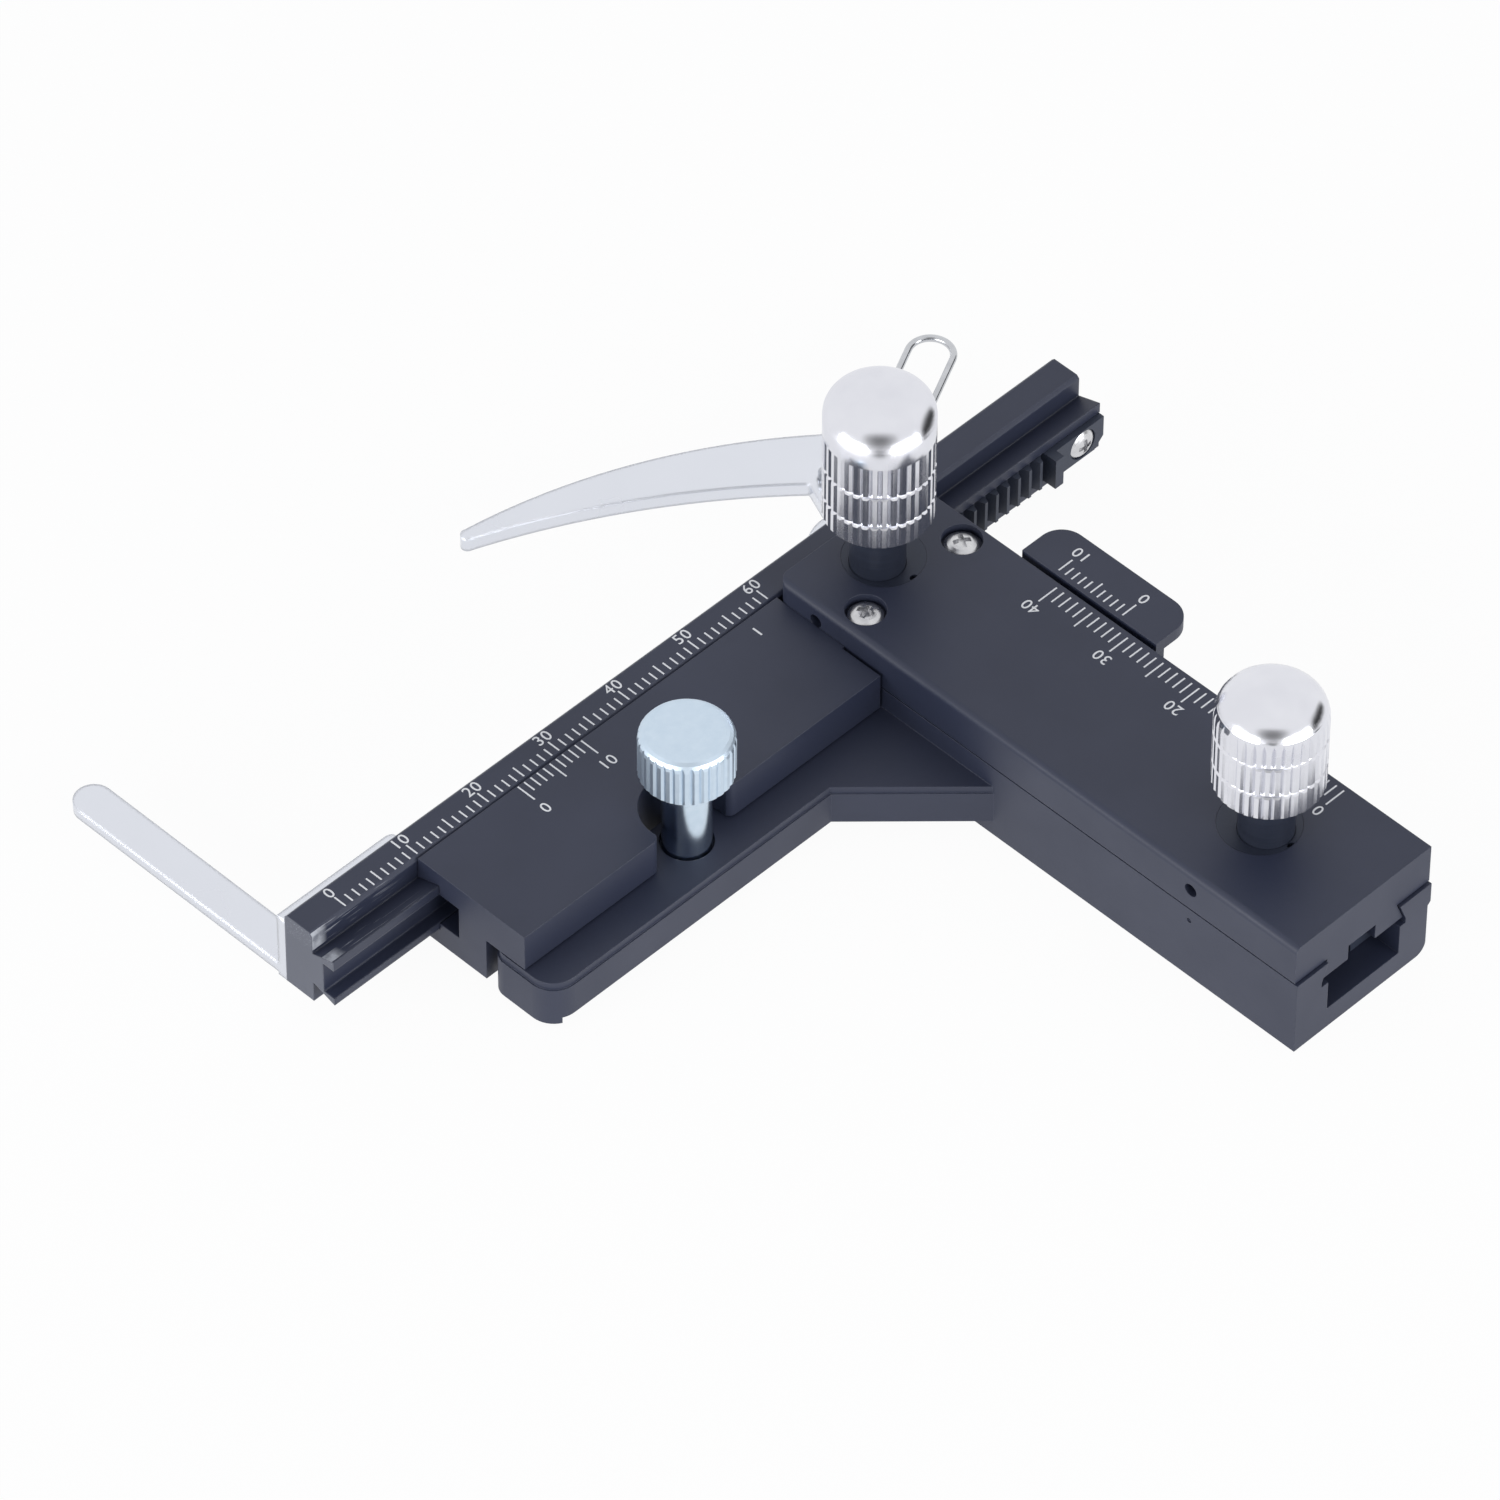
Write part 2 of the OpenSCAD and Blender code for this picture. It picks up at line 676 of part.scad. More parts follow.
module y_slider() {
    lock_hole_len = arm_mid - arm_left;
    color(black) difference() {
        union() {
            along_y(-arm_near, arm_near + channel_y) slab_outline();
            along_y(-arm_near, arm_near + foot_front) tail_outline();
        }
        translate([arm_left, channel_y, slab_z - over]) rotate(-90)
            linear_extrude(slab_t + over * 2) corner_waste(slab_corner_r);
        block([arm_mid - tail_groove / 2, -arm_near - over, tail_z - over],
            [arm_mid + tail_groove / 2, foot_front + over, tail_z + tail_groove_depth]);
        translate([bush_x.x, bush_x.y, 0]) rod(bush_d / 2 + seat, slab_t + over * 2, slab_z - over);
        translate([bush_y.x, bush_y.y, 0]) rod(bush_d / 2 + seat, bush_h + over, slab_top - bush_h);
        translate([y_shaft_x, -y_shaft_y, 0]) {
            rod(shaft_hole_r, slab_t, tail_z);
            rod(y_ring_room_r, y_ring_room_z - tail_z + over, tail_z - over);
        }
        channel();
        for (y = [bush_x.y, bush_y.y]) translate([arm_left - over, y, lock_z])
            rotate([0, 90, 0]) rod(lock_d / 2, lock_hole_len);
        for (i = [-1, 1]) translate([carriage_screw_x + i * carriage_screw_out, carriage_screw_y, slab_top]) {
            rod(screw_head_d / 2 + screw_head_slack, screw_sink + over, -screw_sink);
            rod(screw_d / 2 + over, slab_t + over, -slab_t - over);
        }
    }
}

module carriage_screws() {
    color(bright) for (i = [-1, 1])
        translate([carriage_screw_x + i * carriage_screw_out, carriage_screw_y, slab_top - screw_sink])
            rotate(screw_turn_a * (i + 2)) pan_screw(screw_head_d, screw_head_h, carriage_screw_len - over);
}

// Off-centre bush: its own axis at the origin, its bore moved by the offset.
module bush(h, offset) {
    difference() {
        rod(bush_d / 2, h);
        translate(offset) rod(shaft_r + bore_slack, h + over * 2, -over);
        translate([0, -bush_d / 2, h - bush_notch_r]) rod(bush_notch_r, h);
    }
}

module x_bush() {
    color(black) difference() {
        translate([bush_x.x, bush_x.y, slab_z]) bush(slab_t, [-bush_off, 0, 0]);
        channel();
    }
}

module y_bush() {
    color(black) translate([bush_y.x, bush_y.y, slab_top - bush_h]) bush(bush_h, [0, -bush_off, 0]);
}

module bush_lock_screws() {
    color(black) for (b = [bush_x, bush_y])
        translate([b.x - bush_d / 2 - seat, b.y, lock_z]) rotate([0, -90, 0]) difference() {
            rod(lock_d / 2, lock_len);
            rod(lock_hex_d / 2, lock_hex_depth + over, lock_len - lock_hex_depth);
        }
}

module x_pinion_shaft() {
    low = -block_drop + run;
    color(black) translate([x_shaft_x, x_shaft_y, 0]) difference() {
        union() {
            rod(shaft_r, x_knob_z - x_shoulder_z, x_shoulder_z);
            rod(knob_spigot_r, knob_spigot_h + over, x_knob_z - over);
            rod(neck_r, x_shoulder_z - x_pinion_z, x_pinion_z);
            translate([0, 0, x_pinion_z]) rotate(90) linear_extrude(x_pinion_h) pinion_outline();
            rod(spigot_r, x_pinion_z - low + over, low);
        }
        translate([0, 0, x_ring_z]) ring_groove(ring_groove_r);
    }
}

module y_pinion_shaft() {
    color(black) translate([y_shaft_x, -y_shaft_y, 0]) difference() {
        union() {
            rod(shaft_r, y_knob_z - y_pinion_top, y_pinion_top);
            rod(knob_spigot_r, knob_spigot_h + over, y_knob_z - over);
            translate([0, 0, y_rack_z]) linear_extrude(y_pinion_top - y_rack_z + over) pinion_outline();
        }
        translate([0, 0, y_ring_z]) ring_groove(y_ring_groove_r);
    }
}

// What the groove for a retaining ring takes off a shaft.
module ring_groove(r) {
    linear_extrude(ring_t) difference() {
        circle(shaft_d);
        circle(r);
    }
}

module x_retaining_ring() {
    color(bright) translate([x_shaft_x, x_shaft_y, x_ring_z]) ring(ring_groove_r, ring_out_r);
}

module y_retaining_ring() {
    color(bright) translate([y_shaft_x, -y_shaft_y, y_ring_z]) ring(y_ring_groove_r, y_ring_out_r);
}

// Half outline of a knob: radius against height, with two fine grooves and a domed top.
module knob_profile(h, dome_r, grooves) {
    r = knob_d / 2;
    base_bevel = 0.35;
    groove_half = 0.28;
    groove_depth = 0.42;
    crown = 0.35;
    n = 7;
    polygon(concat([[0, 0], [r - base_bevel, 0], [r, base_bevel]],
        [for (g = grooves) for (p = [[r, -groove_half], [r - groove_depth, 0], [r, groove_half]])
            [p[0], h * g + p[1]]],
        [for (i = [0:n]) let (a = 90 * i / n)
            [r - dome_r + dome_r * cos(a), h - crown - dome_r + dome_r * sin(a)]],
        [[(r - dome_r) / 2, h - crown / 4], [0, h]]));
}

// Straight flutes as a cutter would leave them: one V between each two lands.
module flute_cuts(r, depth, top) {
    flute_share = 0.56;
    reach = depth / 2;
    half = r * sin(180 / flutes * flute_share) * (depth + reach) / depth;
    for (i = [0:flutes - 1])
        rotate(360 / flutes * (i + 0.5)) translate([0, 0, -over]) linear_extrude(top + over)
            polygon([[r - depth, 0], [r + reach, -half], [r + reach, half]]);
}

module knob(h, dome_r, flute_h, grooves) {
    difference() {
        rotate_extrude($fn = flutes * 2) knob_profile(h, dome_r, grooves);
        flute_cuts(knob_d / 2, flute_depth, flute_h);
        rod(knob_spigot_r, knob_spigot_h + over * 2, -over);
    }
}

module x_knob() {
    groove_shares = [0.188, 0.44];
    color(bright) translate([x_shaft_x, x_shaft_y, x_knob_z])
        knob(x_knob_h, x_dome_r, x_flute_h, groove_shares);
}

module y_knob() {
    groove_shares = [0.27, 0.582];
    color(bright) translate([y_shaft_x, -y_shaft_y, y_knob_z])
        knob(y_knob_h, y_dome_r, y_flute_h, groove_shares);
}

module thumb_screw() {
    r = thumb_d / 2;
    head_depth = 0.2;
    shank_low = plate_t - sink_depth + run / 2;
    n = 4;
    color(bright) union() {
        translate([0, 0, thumb_z]) intersection() {
            linear_extrude(thumb_h) fluted_outline(r, thumb_flutes, head_depth);
            rotate_extrude($fn = thumb_flutes * 2) polygon(concat(
                [[0, 0], [r - head_depth, 0], [r, head_depth]],
                [for (i = [0:n]) let (a = 90 * i / n)
                    [r - thumb_edge + thumb_edge * cos(a), thumb_h - thumb_edge + thumb_edge * sin(a)]],
                [[0, thumb_h]]));
        }
        rotate_extrude() polygon([[0, -stud_out], [stud_d / 2 - tip_bevel, -stud_out],
            [stud_d / 2, tip_bevel - stud_out], [stud_d / 2, 0], [neck_in_r, 0],
            [neck_in_r, shank_low], [shank_r - shank_edge, shank_low],
            [shank_r, shank_low + shank_edge], [shank_r, thumb_z + over], [0, thumb_z + over]]);
    }
}

// Arm seen from its near end, without its slot.
module arm_outline() {
    difference() {
        polygon([[arm_left, arm_bottom], [arm_right - arm_step, arm_bottom],
            [arm_right - arm_step, arm_step_z - arm_step], [arm_right, arm_step_z], [arm_right, lip_top],
            [arm_left, lip_top]]);
        translate([arm_right - arm_step, arm_bottom]) rotate(90) corner_waste(arm_edge_r);
    }
}

module arm_slot_outline() {
    neck = tail_neck / 2 + run * 2;
    wide = tail_w / 2 + run;
    polygon([[arm_mid - neck, lip_top + over], [arm_mid - neck, lip_top], [arm_mid - wide, tail_z],
        [arm_mid - wide, slot_top], [slot_left, slot_top], [slot_left, slot_floor],
        [slot_right, slot_floor], [slot_right, slot_top], [arm_mid + wide, slot_top],
        [arm_mid + wide, tail_z], [arm_mid + neck, lip_top], [arm_mid + neck, lip_top + over]]);
}

module plate_outline(inset) {
    round_plate([-plate_left + inset, -plate_near + inset], [arm_left + over, plate_far - inset],
        [plate_r - inset, 0, 0, plate_far_r - inset]);
    polygon([[arm_left - gusset, -plate_near + inset], [arm_left + over, -plate_near - gusset + inset],
        [arm_left + over, -plate_near + inset]]);
}

module vernier_tab() {
    wall_x0 = arm_right + tab_gap + run;
    outer = arm_right + tab_gap + tab_w;
    inset = 0.15;
    far_inset = 0.9;
    bridge_t = 1.5;
    translate([0, 0, tab_top - tab_t]) linear_extrude(tab_t)
        round_plate([arm_right + tab_gap, -tab_near], [outer, tab_len - tab_near], [0, tab_r, tab_r, 0]);
    block([wall_x0, inset - tab_near, arm_step_z - bridge_t],
        [wall_x0 + tab_wall, tab_len - tab_near - far_inset, tab_top - tab_t + over]);
    block([arm_right - arm_step - over, inset - tab_near, arm_step_z - bridge_t],
        [wall_x0 + over, tab_len - tab_near - far_inset, arm_step_z]);
}

module base() {
    rack_hole_x = tip_x + rack_sink;
    color(black) difference() {
        union() {
            along_y(-arm_near - arm_out, arm_near + arm_out + arm_far) arm_outline();
            linear_extrude(plate_t - rim_t + over) plate_outline(0);
            translate([0, 0, plate_t - rim_t]) linear_extrude(rim_t) plate_outline(rim_in);
            translate([0, 0, -foot_h]) linear_extrude(foot_h + over) intersection() {
                plate_outline(0);
                translate([-plate_left, -plate_near]) square([foot_len, plate_near + plate_far]);
            }
            vernier_tab();
        }
        along_y(-arm_near - arm_out - over, arm_near + arm_out + arm_far + over * 2) arm_slot_outline();
        block([arm_left + side_gap / 2, arm_far, arm_bottom - over], [arm_right, channel_y, bar_top]);
        rod(bore_r, plate_t + over * 2, -over);
        rod(sink_r, sink_depth + over, plate_t - sink_depth);
        for (y = y_rack_screw_y) translate([rack_hole_x, y, y_rack_z + y_rack_h / 2])
            rotate([0, 90, 0]) rod(screw_d / 2, slot_right - rack_hole_x + rack_bite);
        translate([arm_left - over, bush_y.y + seat, lock_z - pip_drop])
            rotate([0, 90, 0]) rod(pip_r, pip_depth + over);
    }
}

module y_rack() {
    root_x = y_pitch_x + dedendum;
    color(black) difference() {
        union() {
            block([root_x, y_rack_near, y_rack_z], [slot_right, y_rack_far, y_rack_top]);
            for (i = [-y_teeth_near:y_teeth_far]) translate([y_pitch_x, pitch * i - y_shaft_y, y_rack_z])
                rotate(90) linear_extrude(y_rack_h) rack_tooth();
            for (y = [y_rack_near, y_rack_far - rack_end])
                block([tip_x + run, y, y_rack_z], [slot_right, y + rack_end, y_rack_top]);
        }
        for (y = y_rack_screw_y) translate([tip_x + rack_sink + run, y, y_rack_z + y_rack_h / 2]) {
            rotate([0, -90, 0]) rod(rack_head_d / 2 + run, rail_out);
            rotate([0, 90, 0]) rod(screw_d / 2, rail_out * 2, -over);
        }
    }
}

module y_rack_screws() {
    color(bright) for (y = y_rack_screw_y)
        translate([tip_x + rack_sink + run, y, y_rack_z + y_rack_h / 2]) rotate([0, -90, 0])
            pan_screw(rack_head_d, rack_head_h, slot_right + rack_bite - tip_x - rack_sink - run * 3);
}

// The holder's wall seen from the far side of the bar, with its two raised ends.
module wall_outline() {
    right = wall_x + wall_len;
    translate([wall_x, bar_bottom]) square([wall_len, wall_h]);
    round_plate([wall_x, bar_bottom], [wall_x + wall_end_len, bar_bottom + wall_end_h], [0, 0, end_r, 0]);
    round_plate([right - wall_end_len, bar_bottom], [right, bar_bottom + wall_end_h], [0, 0, 0, end_r]);
}

module slide_holder() {
    color(bright) difference() {
        union() {
            along_y(bar_back, wall_t) wall_outline();
            translate([0, 0, bar_bottom + fixed_up]) linear_extrude(fixed_t) {
                translate([wall_x, bar_back]) square([finger_w, wall_t + finger_reach - finger_w / 2]);
                translate([wall_x + finger_w / 2, wall_back + finger_reach - finger_w / 2])
                    circle(finger_w / 2);
            }
            translate([0, 0, lug_z]) linear_extrude(lug_t) {
                translate([pivot_x - lug_r, bar_back]) square([lug_r * 2, pivot_out]);
                translate(pivot) circle(lug_r);
            }
        }
        translate(pivot) rod(pin_r, bar_top);
        for (x = holder_screw_x)
            translate([x, bar_back - over, rail_mid]) rotate([-90, 0, 0])
                rod(screw_d / 2, wall_t + over * 2);
    }
}

module holder_screws() {
    color(bright) for (x = holder_screw_x)
        translate([x, wall_back, rail_mid]) rotate([-90, 0, 0])
            pan_screw(screw_head_d, screw_head_h, wall_t + holder_bite - over);
}

// Unit vector in the plane.
function way(a) = [cos(a), sin(a)];

module moving_finger() {
    tip = blade_len * way(blade_a);
    tip_side = way(blade_a - tip_turn_a) * (tip_w / 2 - seat);
    out_end = hub_r * out_end_share;
    in_end = hub_r * in_end_share;
    toe_low = wall_back + run - pivot_y;
    toe_end = hub_r * toe_end_share;
    toe_bend = hub_r * toe_bend_share;
    tail = way(loop_a);
    tail_side = way(loop_a + 90) * tail_half;
    heel = (hub_r - run) * way(loop_a - heel_turn_a);
    n = 20;
    outer = arc(tip + tip_side, out_end, blade_out_r, n);
    inner = arc(tip - tip_side, in_end, blade_in_r, n);
    edge = concat(outer, [tail * tail_len + tail_side, tail * tail_len - tail_side, heel,
        [toe_end.x + toe_w, toe_low], [toe_end.x, toe_low], [toe_end.x, toe_end.y - toe_w],
        toe_bend, in_end], [for (i = [n:-1:0]) inner[i]]);
    color(bright) translate([pivot_x, pivot_y, 0]) difference() {
        union() {
            rod(hub_r, finger_t, bar_bottom);
            translate([tip.x, tip.y, 0]) rod(tip_w / 2, finger_t, bar_bottom);
            translate([0, 0, bar_bottom]) linear_extrude(finger_t) polygon(edge);
        }
        rod(pin_r + bore_slack, finger_t + over * 2, bar_bottom - over);
        rod(rivet_r + over, rivet_h + run + over, bar_bottom - over);
        translate([-coil_r, leg_out, 0]) rod(leg_hole_r, finger_t + over * 2, bar_bottom - over);
        for (i = [-1, 1]) translate([0, 0, wire_z]) rotate([0, 90, loop_a])
            translate([0, i * loop_r, tail_len - leg_bite]) rod(wire_d / 2, leg_bite + over);
    }
}

module finger_lever() {
    leg = loop_reach - tail_len + leg_bite;
    color(bright) translate([pivot_x, pivot_y, wire_z]) rotate(loop_a) translate([loop_reach, 0, 0]) {
        rotate(-90) rotate_extrude(angle = 180) translate([loop_r, 0]) circle(wire_d / 2, $fn = 16);
        for (i = [-1, 1]) translate([-leg, i * loop_r, 0]) rotate([0, 90, 0])
            cylinder(d = wire_d, h = leg, $fn = 16);
    }
}

module finger_pivot() {
    low = bar_bottom + run / 2;
    color(bright) translate([pivot_x, pivot_y, 0]) {
        rod(pin_r, pin_top - low, low);
        rod(rivet_r, rivet_h, low);
        rod(rivet_r, rivet_h, pin_top);
    }
}

// The spring's centre line: a leg down into the moving finger, the curls, a leg along the wall.
coil_line = [for (i = [1:curls * rings_per_curl - 1]) let (t = i / rings_per_curl, a = 180 + t * 360)
    [coil_r * cos(a), coil_r * sin(a), coil_z + curl_rise * t]];
spring_line = concat(
    [[-coil_r, leg_out, leg_low], [-coil_r, leg_out, coil_z - leg_step / 2],
        [-coil_r, leg_out - leg_bend, coil_z - leg_bend], [-coil_r, leg_out - leg_step / 2, coil_z],
        [-coil_r, leg_out / 2, coil_z], [-coil_r, 0, coil_z]],
    coil_line,
    [[-coil_r, 0, coil_top], [-coil_r, wall_y / 2, coil_top], [-coil_r, wall_y + leg_step / 2, coil_top],
        [-coil_r - leg_bend, wall_y + leg_bend, coil_top],
        [-coil_r - leg_step / 2, wall_y, coil_top], [-coil_r - wall_leg, wall_y, coil_top]]);

function unit(v) = v / norm(v);
function heading(line, i) =
    unit(line[min(i + 1, len(line) - 1)] - line[max(i - 1, 0)]);
// A side vector carried along the line without twist.
function sides(line, i, v) =
    let (t = heading(line, i), w = unit(v - (v * t) * t))
    i == len(line) - 1 ? [w] : concat([w], sides(line, i + 1, w));

module tube(line, r, n) {
    s = sides(line, 0, [1, 0, 0]);
    last = len(line) - 1;
    pts = [for (i = [0:last]) let (t = heading(line, i), u = s[i], w = cross(t, u))
        for (k = [0:n - 1]) line[i] + r * (cos(360 * k / n) * u + sin(360 * k / n) * w)];
    polyhedron(pts, concat([[for (k = [0:n - 1]) n - 1 - k]],
        [for (i = [0:last - 1]) for (k = [0:n - 1])
            [i * n + k, i * n + (k + 1) % n, (i + 1) * n + (k + 1) % n, (i + 1) * n + k]],
        [[for (k = [0:n - 1]) last * n + k]]));
}

module finger_spring() {
    least = min([for (i = [0:len(spring_line) - 1]) for (j = [i + 1:len(spring_line) - 1])
        if (j - i > rings_per_curl / 2) norm(spring_line[j] - spring_line[i])]);
    echo(spring_self_gap = least - spring_wire);
    color(bright) translate([pivot.x, pivot.y, 0]) tube(spring_line, spring_wire / 2, wire_sides);
}

base();
y_rack();
y_rack_screws();
y_slider();
x_carriage();
carriage_screws();
x_bush();
y_bush();
bush_lock_screws();
x_pinion_shaft();
y_pinion_shaft();
x_retaining_ring();
y_retaining_ring();
x_knob();
y_knob();
x_bar();
x_rack();
x_rack_screws();
slide_holder();
holder_screws();
moving_finger();
finger_lever();
finger_pivot();
finger_spring();
thumb_screw();
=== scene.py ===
# %% [markdown]
# # A mechanical stage for a microscope
# This stage clamps on a microscope's table and moves a glass slide by small amounts in two directions. Its
# solids come from a CAD model, in metres. The origin is on the clamping screw's axis, at the underside of
# the clamping plate; +X runs along the bar and +Z is up. Everything below only dresses them: camera, light,
# finishes and the printed scales.

# %% Load the CAD solids
import json
import math

import bpy
from mathutils import Matrix, Vector


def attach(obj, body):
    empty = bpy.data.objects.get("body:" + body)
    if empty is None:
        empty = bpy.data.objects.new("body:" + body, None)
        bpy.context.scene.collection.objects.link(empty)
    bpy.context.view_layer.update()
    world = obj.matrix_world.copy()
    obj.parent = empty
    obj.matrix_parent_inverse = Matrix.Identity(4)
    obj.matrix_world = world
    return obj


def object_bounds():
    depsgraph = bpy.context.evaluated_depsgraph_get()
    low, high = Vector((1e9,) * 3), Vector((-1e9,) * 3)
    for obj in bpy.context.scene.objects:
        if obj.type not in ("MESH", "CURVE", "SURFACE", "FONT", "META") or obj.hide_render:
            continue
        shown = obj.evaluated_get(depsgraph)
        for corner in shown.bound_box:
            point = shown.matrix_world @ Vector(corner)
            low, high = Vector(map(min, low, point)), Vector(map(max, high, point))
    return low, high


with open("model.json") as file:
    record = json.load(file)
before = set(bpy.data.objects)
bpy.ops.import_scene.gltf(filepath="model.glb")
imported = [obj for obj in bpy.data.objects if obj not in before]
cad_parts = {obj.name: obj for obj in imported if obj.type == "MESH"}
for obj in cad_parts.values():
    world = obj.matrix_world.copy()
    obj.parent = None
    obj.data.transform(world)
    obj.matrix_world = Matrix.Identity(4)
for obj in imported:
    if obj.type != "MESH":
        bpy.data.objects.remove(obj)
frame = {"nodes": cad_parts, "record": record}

MM = 0.001
cad_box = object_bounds()
scene = bpy.context.scene
scene.view_settings.view_transform = "Standard"
print("CAD box in mm:", [[round(c / MM, 1) for c in corner] for corner in cad_box])

# %% [markdown]
# ## The camera
# The two printed scales are rulers lying in the picture. Fitting a camera to the places of their divisions
# gives where it stood: 1.2 m away, 47 degrees above the table, looking along the diagonal with a long lens.
# A long lens keeps the bar and the arm almost parallel-sided, as in the picture. The camera's roll is the
# small tilt that is left over from the fit.

# %% Camera
CAMERA_PLACE_MM = (-570.17, -570.70, 884.60)
CAMERA_TURN_DEG = 44.577
CAMERA_DOWN_DEG = 47.037
CAMERA_ROLL_DEG = -0.2646
LENS_MM = 283.28
SENSOR_MM = 36
CLIP_NEAR_M = 0.01
CLIP_FAR_M = 20

turn = math.radians(CAMERA_TURN_DEG)
down = math.radians(CAMERA_DOWN_DEG)
level = Vector((math.cos(turn), math.sin(turn), 0))
forward = level * math.cos(down) + Vector((0, 0, -math.sin(down)))
right = forward.cross(Vector((0, 0, 1))).normalized()
rolled = Matrix.Rotation(math.radians(CAMERA_ROLL_DEG), 3, forward)
right = rolled @ right
up = right.cross(forward)

camera_data = bpy.data.cameras.new("stage_camera")
camera_data.lens = LENS_MM
camera_data.sensor_width = SENSOR_MM
camera_data.clip_start = CLIP_NEAR_M
camera_data.clip_end = CLIP_FAR_M
camera = bpy.data.objects.new("stage_camera", camera_data)
camera.matrix_world = Matrix((
    (right.x, up.x, -forward.x, CAMERA_PLACE_MM[0] * MM),
    (right.y, up.y, -forward.y, CAMERA_PLACE_MM[1] * MM),
    (right.z, up.z, -forward.z, CAMERA_PLACE_MM[2] * MM),
    (0, 0, 0, 1)))
scene.collection.objects.link(camera)
scene.camera = camera
print("camera is", round(Vector(CAMERA_PLACE_MM).length * MM, 2), "m from the clamping screw")

# %% [markdown]
# ## One helper for every shader node
# A finish is a small network of nodes. Colours are picked as sRGB hex values, the way a paint chart gives
# them, and shaders want linear light, so one function turns one into the other. A second function adds a
# node with its settings and links, which keeps each material short enough to read.

# %% Helpers for materials
def linear(hex_code):
    """An sRGB hex colour as linear RGBA."""
    parts = [int(hex_code[i:i + 2], 16) / 255 for i in (1, 3, 5)]
    light = [c / 12.92 if c <= 0.04045 else ((c + 0.055) / 1.055) ** 2.4 for c in parts]
    return (*light, 1.0)


def add(tree, kind, inputs=None, out=0, **settings):
    """Adds a node and returns one output. inputs maps a socket's name or number to a value or a link."""
    made = tree.nodes.new("ShaderNode" + kind)
    for name, value in settings.items():
        setattr(made, name, value)
    for name, value in (inputs or {}).items():
        if isinstance(value, bpy.types.NodeSocket):
            tree.links.new(value, made.inputs[name])
        else:
            made.inputs[name].default_value = value
    return made.outputs[out]


def per_mm(size_mm):
    """The scale of a pattern whose features are that many millimetres wide, in coordinates of metres."""
    return 1 / (size_mm * MM)


def noise(tree, place, size_mm, detail, distortion=0.0):
    """Soft random patches of a real size, from 0 to 1."""
    settings = {"Vector": place, "Scale": per_mm(size_mm), "Detail": detail, "Distortion": distortion}
    return add(tree, "TexNoise", settings)


def blend(tree, share, first, second):
    """A colour between two, by a share from 0 to 1."""
    return add(tree, "Mix", {0: share, 6: first, 7: second}, out=2, data_type="RGBA")


def multiply(tree, first, second):
    """The product of two values."""
    return add(tree, "Math", {0: first, 1: second}, operation="MULTIPLY")


def split(tree, vector):
    """The three parts of a vector."""
    made = tree.nodes.new("ShaderNodeSeparateXYZ")
    tree.links.new(vector, made.inputs["Vector"])
    return made.outputs


def span(tree, value, low, high, start=0.3, end=0.7):
    """Maps a range, by default the middle of a pattern's, to the range from low to high."""
    return add(tree, "MapRange", {0: value, 1: start, 2: end, 3: low, 4: high})


def bump(tree, height, strength, depth_mm, **more):
    """Relief of a real depth."""
    settings = {"Height": height, "Strength": strength, "Distance": depth_mm * MM}
    return add(tree, "Bump", {**settings, **more})


def finish(name, build):
    """A material whose main shader takes what build returns: a dictionary of sockets and values."""
    material = bpy.data.materials.new(name)
    material.use_nodes = True
    tree = material.node_tree
    tree.nodes.clear()
    place = add(tree, "TexCoord", out="Object")
    shader = add(tree, "BsdfPrincipled", build(tree, place))
    add_output(tree, "OutputMaterial", shader)
    return material


def add_output(tree, kind, shader):
    """Ends a network: the shader's light goes to the surface."""
    made = tree.nodes.new("ShaderNode" + kind)
    tree.links.new(shader, made.inputs["Surface"])


finishes = {}
print("helpers ready")

# %% [markdown]
# ## Black anodised aluminium
# The arm, slab, carriage and bar are cast or milled aluminium. They were tumbled, then dyed black in an
# anodising bath. That leaves a hard satin skin: dark slate under soft light, with a fine grain. Along the
# edges the colour is painted paler in rubbed patches: partly real wear, partly a painted highlight where
# edges catch the light. A real edge is broken by about 0.1 mm; a bevel in the shader's normal does that
# without more mesh, and marks the band where the paler colour is painted. The grain is really about
# 0.05 mm; it is drawn at 0.16 mm so that it shows.

# %% Black anodised aluminium
ANODISED = "#2e3449"
ANODISED_DEEP = "#292e40"
# Paler colour painted along the edges: partly rubbed wear, partly a painted highlight.
ANODISED_EDGE_WEAR_AND_HIGHLIGHT = "#666b7b"
GRAIN_MM = 0.16
CLOUD_MM = 9
RUB_MM = 1.4
EDGE_MM = 0.14
SATIN = (0.44, 0.52)
FLAT_ABOVE = 0.995
ROUND_BELOW = 0.86
EDGE_WEAR_AND_HIGHLIGHT_SHARE = 0.7
GRAIN_STRENGTH = 0.1
GRAIN_DEPTH_MM = 0.02


def anodised(tree, place, edge_mm=EDGE_MM):
    clouds = noise(tree, place, CLOUD_MM, 4.0)
    dye = blend(tree, clouds, linear(ANODISED), linear(ANODISED_DEEP))
    rounded = add(tree, "Bevel", {"Radius": edge_mm * MM}, samples=4)
    flat = add(tree, "NewGeometry", out="Normal")
    likeness = add(tree, "VectorMath", {0: rounded, 1: flat}, out="Value", operation="DOT_PRODUCT")
    # The edge band is painted paler in patches: partly wear, partly a painted highlight.
    edge = span(tree, likeness, 0.0, EDGE_WEAR_AND_HIGHLIGHT_SHARE, FLAT_ABOVE, ROUND_BELOW)
    edge = multiply(tree, edge, noise(tree, place, RUB_MM, 6.0))
    grain = noise(tree, place, GRAIN_MM, 3.0)
    return {
        "Base Color": blend(tree, edge, dye, linear(ANODISED_EDGE_WEAR_AND_HIGHLIGHT)),
        "Roughness": span(tree, clouds, *SATIN),
        "Normal": bump(tree, grain, GRAIN_STRENGTH, GRAIN_DEPTH_MM, Normal=rounded),
    }


finishes["black_anodised"] = finish("black_anodised_aluminium", anodised)
print("anodised grain drawn at", GRAIN_MM, "mm")

